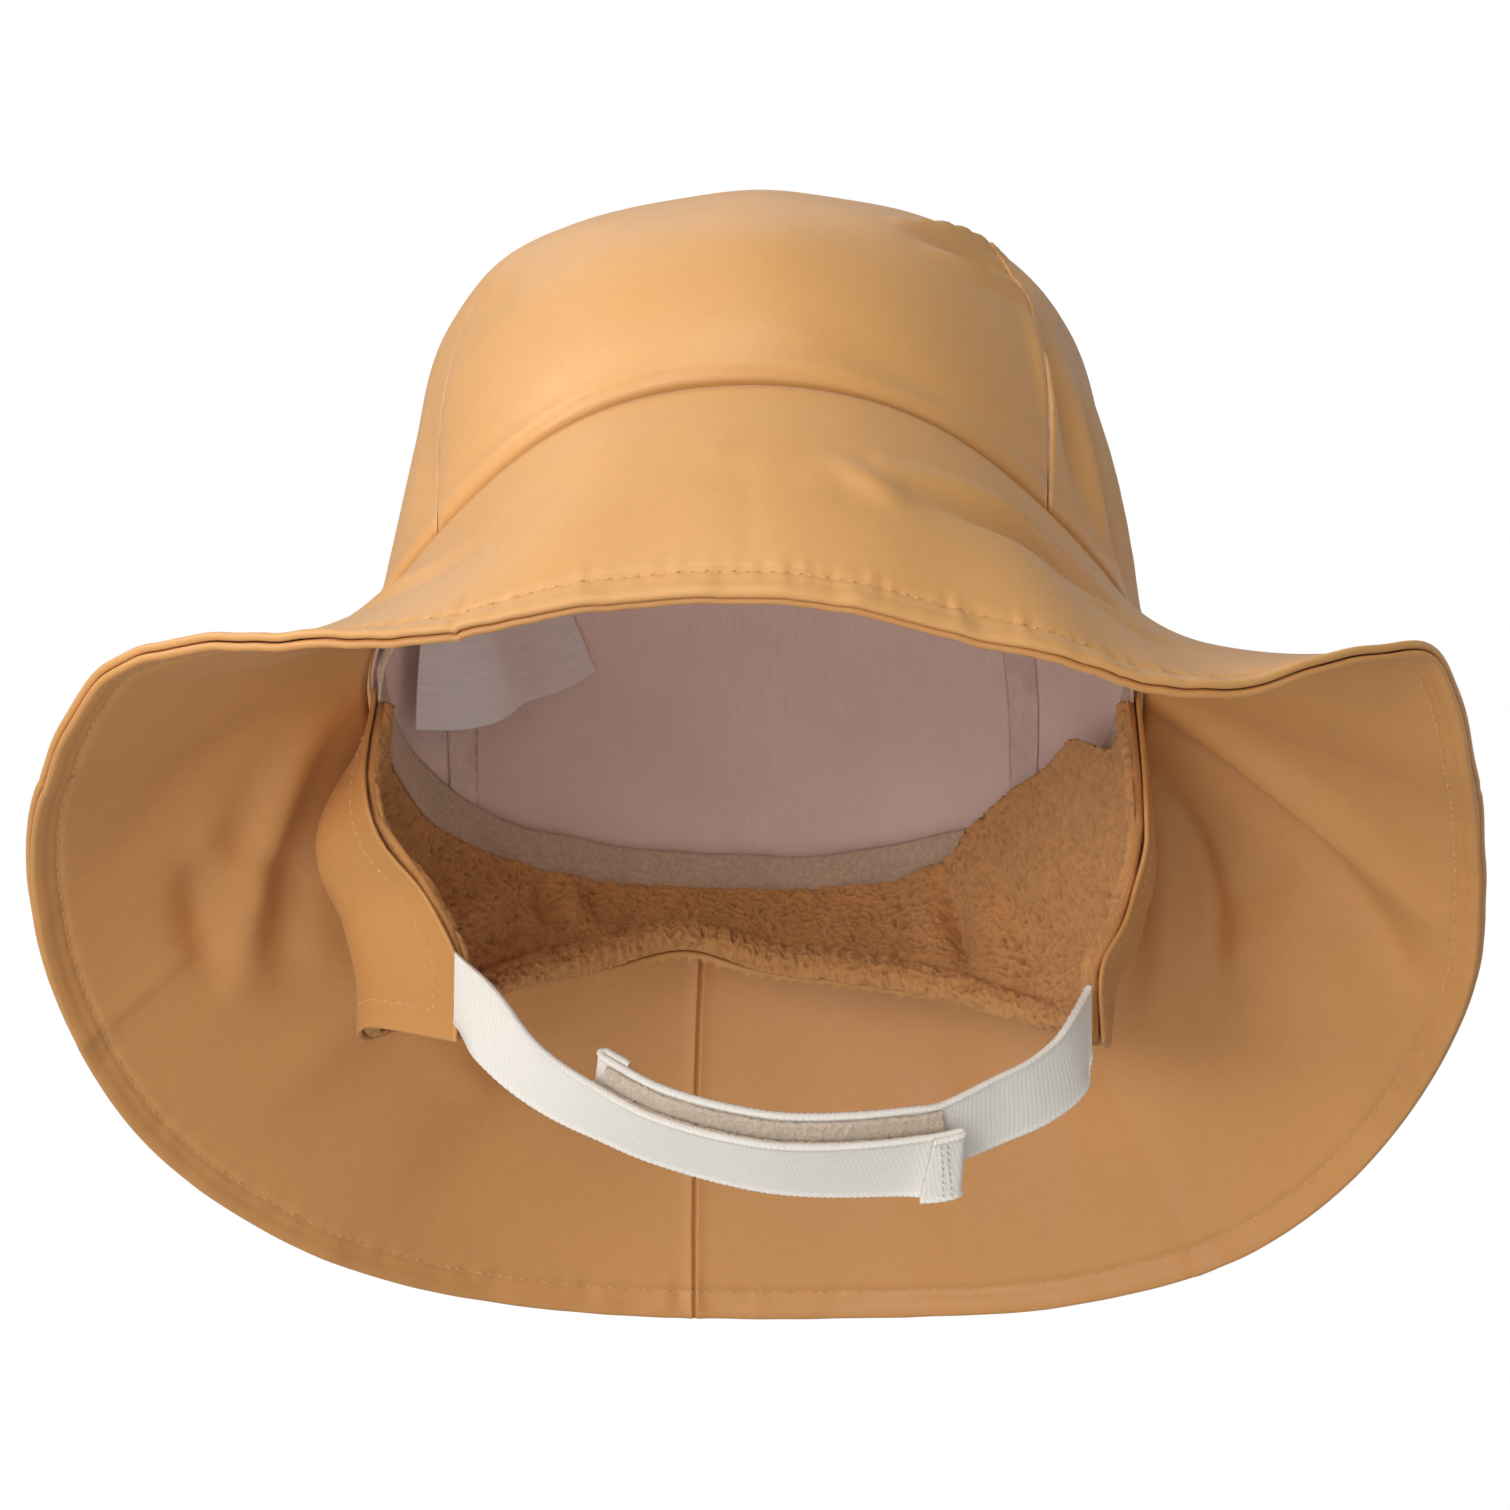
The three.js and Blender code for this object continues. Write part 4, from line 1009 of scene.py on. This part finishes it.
def tape_cloth(degrees, share, tip, side):
    """The tape's faces, pressed flat at its edges."""
    along = share + tip * TAPE / 2 / TAPE_HEIGHT
    swell = 0.00025 * ripple(degrees, (29, 1, 0.5), (47, 0.7, 1.5), (71, 0.5, 0))
    swell = swell * np.sin(np.pi * np.clip(along, 0, 1))
    lift = side * TAPE / 2 + swell
    return tape_surface(degrees, along) + facing_out(tape_surface, degrees, along) * lift[..., None]


tape_columns = np.linspace(0, 360, 541)[:, None]
rows = [row[None] for row in wall_rows(np.linspace(0, 1, 14))]
bm = cloth_grid(tape_cloth(tape_columns, *rows), 0.53, 0.023)
add_piece("felted_tape", bm, (tape_felt,), "seam_tape", "seam_tape")

HAIRS, HAIR_ROOT, HAIR_TIP = 1100, 0.00007, 0.00001
hair_shape = {"segments": 3, "radius1": HAIR_ROOT, "radius2": HAIR_TIP, "depth": 1}
one_hair = small_shape("one_hair", bmesh.ops.create_cone, **hair_shape)
bm = bmesh.new()
for _ in range(HAIRS):
    degrees = random.uniform(0, 360)
    root = Vector(tape_cloth(np.array(degrees), 1.0, 0.0, random.uniform(-1, 0.2)))
    inwards = -Vector(outward(degrees))
    lean = Vector((random.gauss(0, 0.35), random.gauss(0, 0.35), -1)) + inwards * random.uniform(-0.1, 0.5)
    length = random.uniform(0.0006, 0.002)
    pose = lean.to_track_quat("Z", "Y").to_matrix().to_4x4() @ Matrix.Diagonal((1, 1, length, 1))
    pose.translation = root + lean.normalized() * length * 0.4
    stamp(bm, one_hair, pose)
add_piece("tape_hairs", bm, (tape_felt,), "seam_tape")

# %% [markdown]
# ## Flap band
# One band hangs from the seam and makes both ear flaps and the neck guard: coated cloth outside and thick
# fleece inside. Elastic in its hem gathers it round the back into fine ribs. The fleece's pile curls into
# small tufts. They are real geometry, because bump alone would leave the edges smooth: a fine grid, moved
# by noise that folds over on itself. The same noise is kept on the mesh, so that the finish can paint
# shade into the hollows and light onto the tufts.

# %% The flaps' coated cloth
FLAP_FOLDS = table(
    "angle along to_angle to_along width rise",
    (158, 0.1, 160, 0.9, 3.5, 0.8), (165, 0.2, 166, 0.95, 3.5, -0.7), (118, 0.1, 122, 0.9, 6, 0.9),
    (106, 0.1, 110, 0.8, 6, -0.8), (236, 0.15, 232, 0.9, 6, 0.8), (250, 0.1, 246, 0.85, 7, -0.8),
    (262, 0.1, 258, 0.7, 6, 0.6), (210, 0.1, 208, 0.9, 5, 0.7), (134, 0.1, 138, 0.9, 5, 0.7),
    (95, 0.1, 98, 0.6, 5, 0.5),
)
RIB_COUNT, RIB_HEIGHT = 31, 0.0013


def flap_length(degrees):
    """The length of the flap band's cloth from seam to hem."""
    return FLAP_DROP * read(FLAP_SECTIONS, "drop", degrees)


def gathers(degrees, along):
    """How much the gathered hem lifts the cloth: broad folds with fine ribs on them."""
    turn = np.clip((degrees - GATHER_FIRST) / (GATHER_LAST - GATHER_FIRST), 0, 1)
    rise = np.clip((along - GATHER_REACH) / (1 - GATHER_REACH), 0, 1.1)
    fold = 0.5 - 0.5 * np.cos(2 * np.pi * GATHER_COUNT * turn)
    ribs = 0.5 - 0.5 * np.cos(2 * np.pi * RIB_COUNT * turn + np.sin(9 * turn))
    near = smooth((along - 0.6) / 0.4)
    broad = FLEECE * GATHER_HEIGHT * rise * fold * 0.6
    return np.sqrt(np.sin(np.pi * turn)) * (broad + RIB_HEIGHT * near * ribs)


def flap_height(degrees, along, places):
    """The folds that the cloth and the fleece share."""
    waves = 0.0003 * ripple(degrees, (17, 1, 0), (29, 0.8, 1)) * np.sin(np.pi * np.clip(along, 0, 1))
    return fold_height(FLAP_FOLDS, flap_surface, places) + waves


def flap_cloth(degrees, share, tip, side, full):
    """The coated cloth of the flaps, with its edges turned in."""
    along = share + tip * CLOTH / 2 / flap_length(degrees)
    places = flap_surface(degrees, along)
    lift = flap_height(degrees, along, places) + side * full * CLOTH / 2
    lift += np.where(side > 0, gathers(degrees, along) * np.clip(side, 0, 1), 0)
    away = facing_out(flap_surface, degrees, along, FLAP_START, 360 - FLAP_START)
    return places + away * lift[..., None]


flap_columns, flap_full = rounded_ends(FLAP_START, 360 - FLAP_START, 421, 0.4)
flap_down = np.concatenate([np.linspace(0, 0.9, 34), np.linspace(0.9, 1, 11)[1:]])
rows = [row[None] for row in wall_rows(flap_down)]
bm = cloth_grid(flap_cloth(flap_columns[:, None], *rows, flap_full[:, None]), 0.3, 0.1)
add_piece("flap_shell_cloth", bm, (flap_shaded_coat,), "flap_cloth", "flap_shell")

# %% The fleece
PILE_HEIGHT, TUFTS = 0.0016, 600
CASING, CASING_DEPTH, ROLL_HEIGHT, SHORTER = 0.0062, 0.0012, 0.0016, 0.014
BULGE_OUT, BULGE_UP = 0.0066, 0.015
FLEECE_FOLDS = table(
    "angle along to_angle to_along width rise",
    (136, 0.3, 108, 0.4, 10, -4.0), (147, 0.25, 143, 0.8, 2.6, 4.4), (151, 0.3, 149, 0.7, 3.4, -2.0),
    (139, 0.3, 136, 0.8, 3.4, -2.4), (216, 0.1, 214, 0.6, 2.4, 3.4), (211, 0.1, 210, 0.6, 2.4, -3.0),
    (206, 0.1, 205, 0.6, 2.4, 3.2), (222, 0.2, 230, 0.6, 5, -3.2), (236, 0.2, 240, 0.6, 5, 2.4),
    (176, 0.2, 174, 0.6, 5, -1.0), (108, 0.1, 106, 0.8, 5, 1.2), (100, 0.1, 99, 0.8, 4, -1.0),
)


def fleece_top(degrees):
    """How far along the band the fleece starts, just below the tape."""
    start = -seam_drop(degrees) - TAPE_HEIGHT / 2 - GAP
    top, bottom = (flap_surface(degrees, np.full(degrees.shape, end))[..., 2] for end in (0.0, 1.0))
    return (top - start) / (top - bottom)


def tuft_height(place):
    """The pile at a place, from about 0 in a hollow to 1 on a tuft."""
    spot = Vector(place) * TUFTS
    spot += 0.7 * noise.noise_vector(spot * 0.5)
    curl = 1 - 1.7 * abs(noise.noise(spot))
    return 0.2 + 0.6 * curl + 0.3 * noise.noise(spot * 2.1)


def fleece_places(degrees, share, tip, side, full):
    """The fleece's two faces: the outer one lies against the coated cloth and the inner one is pile."""
    top = fleece_top(degrees)
    gathered = smooth((degrees - 122) / 12) * smooth((238 - degrees) / 12)
    along = top + (1 - top - SHORTER * (1 - gathered)) * share + tip * 0.15 * FLEECE / flap_length(degrees)
    places = flap_surface(degrees, along)
    back_face, front_face = -CLOTH / 2 - GAP, -CLOTH / 2 - GAP - FLEECE
    middle, half = (back_face + front_face) / 2, (back_face - front_face) / 2
    lift = flap_height(degrees, along, places) + middle + side * half * full
    inner = np.clip(-side + 0.3 * tip, 0, 1)
    lift -= 0.6 * inner * gathers(degrees, along)
    lift += inner * full * fold_height(FLEECE_FOLDS, flap_surface, places)
    inwards = (1 - along) * flap_length(degrees)
    casing = CASING_DEPTH * bell(inwards - CASING, 0.001)
    casing -= ROLL_HEIGHT * smooth(1.3 - np.abs(inwards - 0.0028) / 0.0032)
    lift += inner * gathered * casing
    away = facing_out(flap_surface, degrees, along, FLAP_START, 360 - FLAP_START)
    places = places + away * lift[..., None]
    pushed = inner * full * smooth((160 - degrees) / 34) * smooth((degrees - 96) / 14)
    inwards_share = (along - top) / (1 - top)
    swell = bell(np.clip(inwards_share - 0.1, 0, 1), 0.3) * smooth(inwards_share / 0.04 + 0.25)
    swell = swell * (1 - 0.35 * bell(turned(degrees, 146), 3))
    places = places - away * (BULGE_OUT * pushed * swell)[..., None]
    places[..., 2] += BULGE_UP * pushed * swell * smooth((0.32 - inwards_share) / 0.3)
    hem = gathered * (1 - 0.8 * np.exp(-(((degrees - 193) / 12) ** 4)))
    places[..., 2] -= 0.0013 * hem * smooth((share - 0.7) / 0.3) * np.clip(inner + tip, 0, 1)
    pile = np.zeros(places.shape[:-1])
    for spot in np.ndindex(pile.shape):
        pile[spot] = tuft_height(places[spot])
    shown = np.clip(0.25 - side + tip + 1.2 * (1 - full), 0, 1) * (0.55 + 0.45 * full)
    shown = shown * np.minimum(4 * full, 1)
    onwards = unit(flap_surface(degrees + 0.5, along) - flap_surface(degrees - 0.5, along))
    endwards = onwards * ((1 - full) * np.where(degrees > 180, 1.2, -1.2))[..., None]
    outwards = unit(away * (side - 0.2)[..., None] - np.array([0, 0, 1]) * tip[..., None] + endwards)
    return places + outwards * (PILE_HEIGHT * (pile - 0.35) * shown)[..., None], pile


fleece_columns, fleece_full = rounded_ends(FLAP_START, 360 - FLAP_START, 680, 1.0, turns=7)
share, tip, side = wall_rows(np.linspace(0, 1, 110), turns=11)
kept = np.concatenate([np.arange(0, 110, 15), np.arange(110, len(share))])
rows = [row[kept][None] for row in (share, tip, side)]
places, pile = fleece_places(fleece_columns[:, None], *rows, fleece_full[:, None])
bm = cloth_grid(places, 0.3, 0.1, pile=pile)
add_piece("fleece_lining_pile", bm, (fleece_pile,), "fleece", "fleece_lining")

# %% The flaps' stitches
FLAP_STITCH_INSET = 0.005
FLAP_THREAD = (0.0023, 0.0016, 0.00025)


def flap_line(degrees, along):
    """A line on the flaps' outer face, and its normals."""
    ones = np.ones(len(degrees))
    places = flap_cloth(degrees, along, 0 * ones, ones, ones)
    return places, facing_out(flap_surface, degrees, along, FLAP_START, 360 - FLAP_START)


bm = bmesh.new()
down, across = np.linspace(0.12, 0.92, 60), np.linspace(0, 1, 60)
for edge, way in ((FLAP_START, 1), (360 - FLAP_START, -1)):
    inset = way * 3.4
    sew(bm, *flap_line(np.full(60, edge + inset), down), *FLAP_THREAD)
    hem = edge + inset + way * 14 * across
    sew(bm, *flap_line(hem, 1 - FLAP_STITCH_INSET / flap_length(hem)), *FLAP_THREAD)
add_piece("flap_stitches", bm, (tan_thread,), "flap_cloth")

# %% [markdown]
# ## Chin strap
# Woven elastic in two halves. Each is sewn to a flap, and a hook-and-loop closure joins them below the
# chin. The elastic has a corded edge with small beads on both sides, and its cut end is folded back and
# stitched. The strap is a cross-section that walks along its route; at the end the route turns round.

# %% The strap's route
def route_point(along):
    """The route of the strap's middle, from the left flap (0) to the right one (1)."""
    sewn = -SEAM_DIP - FLAP_DROP + STRAP_WIDTH / 2
    across, forward, fall = (read(STRAP_ROUTE, column, along) for column in ("across", "forward", "fall"))
    return points(HEAD_WIDTH / 2 * across, STRAP_WIDTH * forward, sewn - STRAP_SAG * fall)


def strap_frame(along, half):
    """The middle of a half of the strap, and its directions along, across and out of its face."""
    along = np.asarray(along, dtype=float)
    run = unit(route_point(along + 0.005) - route_point(along - 0.005))
    tilt = np.radians(read(STRAP_ROUTE, "tilt", along))
    lean = points(0, np.cos(tilt), -np.sin(tilt))
    square = smooth(np.minimum(along, 1 - along) / SEWN_SKEW)
    across = unit(lean - run * (square * np.sum(lean * run, axis=-1))[..., None])
    normal = unit(np.cross(run, across))
    reach = (along - RIGHT_END + 0.2) if half < 0 else (LEFT_END + 0.2 - along)
    part = (half * smooth(reach / 0.2))[..., None]
    return route_point(along) + normal * part * STACK / 2 - across * part * STAGGER / 2, run, across, normal


CORD, CUT_BACK = 0.93, 0.008


def elastic_rows(count=30):
    """The cross-section: places across it from -1 to 1 and back, and how thick it is there."""
    half = np.sin(np.linspace(-np.pi / 2, np.pi / 2, count))
    thick = np.sqrt(np.clip(1 - (np.clip(np.abs(half) - CORD, 0, 1) / (1 - CORD)) ** 2, 0, 1))
    thick *= 1 + 0.35 * bell(np.abs(half) - CORD, 0.05)
    return np.concatenate([half, half[-2:0:-1]]), np.concatenate([thick, -thick[-2:0:-1]])


def strap_half(half, sewn, end, fold_back=0.0052, columns=300):
    """One half of the strap, with its end folded back on the side away from the other half."""
    length = np.linalg.norm(np.diff(route_point(np.linspace(0, 1, 200)), axis=0), axis=-1).sum()
    step = np.sign(end - sewn)
    stops = np.linspace(sewn, end, columns)
    middle, run, across, normal = strap_frame(stops, half)
    run = run * step
    bend = np.linspace(0, np.pi, 9)[1:]
    radius = ELASTIC / 2 + 0.0002
    turn = middle[-1] + run[-1] * np.sin(bend)[:, None] * radius
    turn = turn + half * normal[-1] * radius * (1 - np.cos(bend))[:, None]
    turn_normal = normal[-1] * np.cos(bend)[:, None] - half * run[-1] * np.sin(bend)[:, None]
    again = end - step * fold_back / length * np.linspace(0, 1, 18)[1:]
    under, _, under_across, under_normal = strap_frame(again, half)
    under = under + half * under_normal * 2 * radius
    middle = np.concatenate([middle, turn, under])
    across = np.concatenate([across, np.repeat(across[-1:], 8, axis=0), under_across])
    normal = np.concatenate([normal, turn_normal, -under_normal])
    walked = np.concatenate([[0], np.cumsum(np.linalg.norm(np.diff(middle, axis=0), axis=-1))])[:, None]
    side, thick = (row[None] for row in elastic_rows())
    beads = np.abs(np.sin(np.pi * walked / 0.0013)) * bell(np.abs(side) - CORD, 0.05)
    picks = 0.00003 * np.sin(2 * np.pi * walked / 0.0009 + 9 * side)
    height = ELASTIC / 2 * thick + np.sign(thick) * (0.00022 * beads + picks * (np.abs(thick) > 0.4))
    reach = side * STRAP_WIDTH / 2 * (1 + 0.012 * beads)
    places = middle[:, None] + across[:, None] * reach[..., None] + normal[:, None] * height[..., None]
    if half < 0:
        near_end = smooth(1 - (walked[columns - 1] - walked) / 0.014)
        places -= run[-1] * (0.0015 * side * near_end)[..., None]
    return places, walked[-1, 0]


for name, half, sewn, end in (
    ("chin_strap_left", -1, 0.005, LEFT_END - CUT_BACK),
    ("chin_strap_right", 1, 0.995, RIGHT_END),
):
    places, length = strap_half(half, sewn, end)
    print(name, "elastic", round(1000 * length), "mm long")
    bm = cloth_grid(places, length, 0.032)
    add_piece(name + "_elastic", bm, (elastic,), "woven_elastic", name)

# %% The strap's stitches
bm = bmesh.new()
for half, end, way in ((-1, LEFT_END - CUT_BACK, -1), (1, RIGHT_END, 1)):
    for inset in (0.01, 0.017):
        middle, _, across, normal = strap_frame(np.array([end + way * inset]), half)
        offsets = np.linspace(-0.45, 0.45, 25)[:, None] * STRAP_WIDTH
        line = middle + across * offsets + normal * half * (1.5 * ELASTIC + 0.0006)
        sew(bm, line, np.repeat(normal * half, 25, axis=0), 0.0017, 0.0014, 0.00022, 0.3)
add_piece("strap_stitches", bm, (cream_thread,), "woven_elastic")

# %% [markdown]
# ## Hook-and-loop closure
# A patch of loops on one half and of hooks on the other. They lie face to face. Their pile is noise again,
# only finer.

# %% The patches
FUZZ = 0.00028


def patch_places(half, low, high, columns=190):
    """A fuzzy patch on a half of the strap, between two heights over its face."""
    stops, full = rounded_ends(RIGHT_END + 0.01, LEFT_END - 0.01, columns, 0.004)
    middle, _, across, normal = strap_frame(stops, half)
    side, thick = (row[None] for row in elastic_rows(22))
    thick = np.clip(thick, -1, 1) * full[:, None]
    height = (low + high) / 2 + thick * (high - low) / 2
    places = middle[:, None] + across[:, None] * (side * PATCH_WIDTH / 2)[..., None]
    places = places + normal[:, None] * height[..., None]
    for spot in np.ndindex(places.shape[:2]):
        fuzz = noise.noise(Vector(places[spot]) * 1100) + 0.5 * noise.noise(Vector(places[spot]) * 2600)
        outwards = across[spot[0]] * side[0, spot[1]] * 0.7 + normal[spot[0]] * np.sign(thick[spot])
        places[spot] += outwards * FUZZ * fuzz
    return places


near, far = ELASTIC / 2 + GAP, ELASTIC / 2 + GAP + PATCH
for name, half, low, high in (("hook_patch", -1, near, far), ("loop_patch", 1, -far, -near)):
    bm = cloth_grid(patch_places(half, low, high), 0.08, 0.028)
    add_piece(name + "_pile", bm, (patch_pile,), "hook_and_loop", name)

# %% [markdown]
# ## Care label
# A folded satin ribbon, caught in the panel seam inside the crown. It is left bare.

# %% The label
def label_point(along):
    """The label's route, which starts at the crown's lining and stands off from it."""
    degrees, level, off = (read(LABEL_ROUTE, column, along) for column in ("angle", "level", "off"))
    away = facing_out(crown_surface, degrees, level) * (CLOTH + GAP + SATIN)
    return crown_surface(degrees, level) - away - outward(degrees) * (HEAD_WIDTH * off)[..., None]


def label_places(columns=110, rows=16):
    """The ribbon: thin, a little cupped, with its edges pressed."""
    stops, full = rounded_ends(0.0, 1.0, columns, 0.004)
    middle = label_point(stops)
    run = unit(label_point(np.minimum(stops + 0.01, 1)) - label_point(np.maximum(stops - 0.01, 0)))
    degrees, level = (read(LABEL_ROUTE, column, stops) for column in ("angle", "level"))
    across = unit(np.cross(run, facing_out(crown_surface, degrees, level)))
    normal = np.cross(run, across)
    bend = np.linspace(-np.pi / 2, np.pi / 2, rows)
    half, thin = np.sin(bend), np.cos(bend) ** 0.3
    side = np.concatenate([half, half[-2:0:-1]])[None]
    thick = np.concatenate([thin, -thin[-2:0:-1]])[None]
    height = thick * SATIN / 2 * full[:, None] + 0.0007 * side**2 * np.sin(2.2 * np.pi * stops)[:, None]
    places = middle[:, None] + across[:, None] * (side * LABEL_WIDTH / 2)[..., None]
    return places + normal[:, None] * height[..., None]


bm = cloth_grid(label_places(), 0.06, 0.048)
add_piece("care_label_ribbon", bm, (label_satin,), "label_satin", "care_label")

# %% [markdown]
# ## Size
# The box round the dressed hat is measured, without the floor and the hidden CAD parts. The dressed
# hat may stand only a little proud of the CAD model.

# %% Sizes and finish
bpy.context.view_layer.update()
low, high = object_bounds()
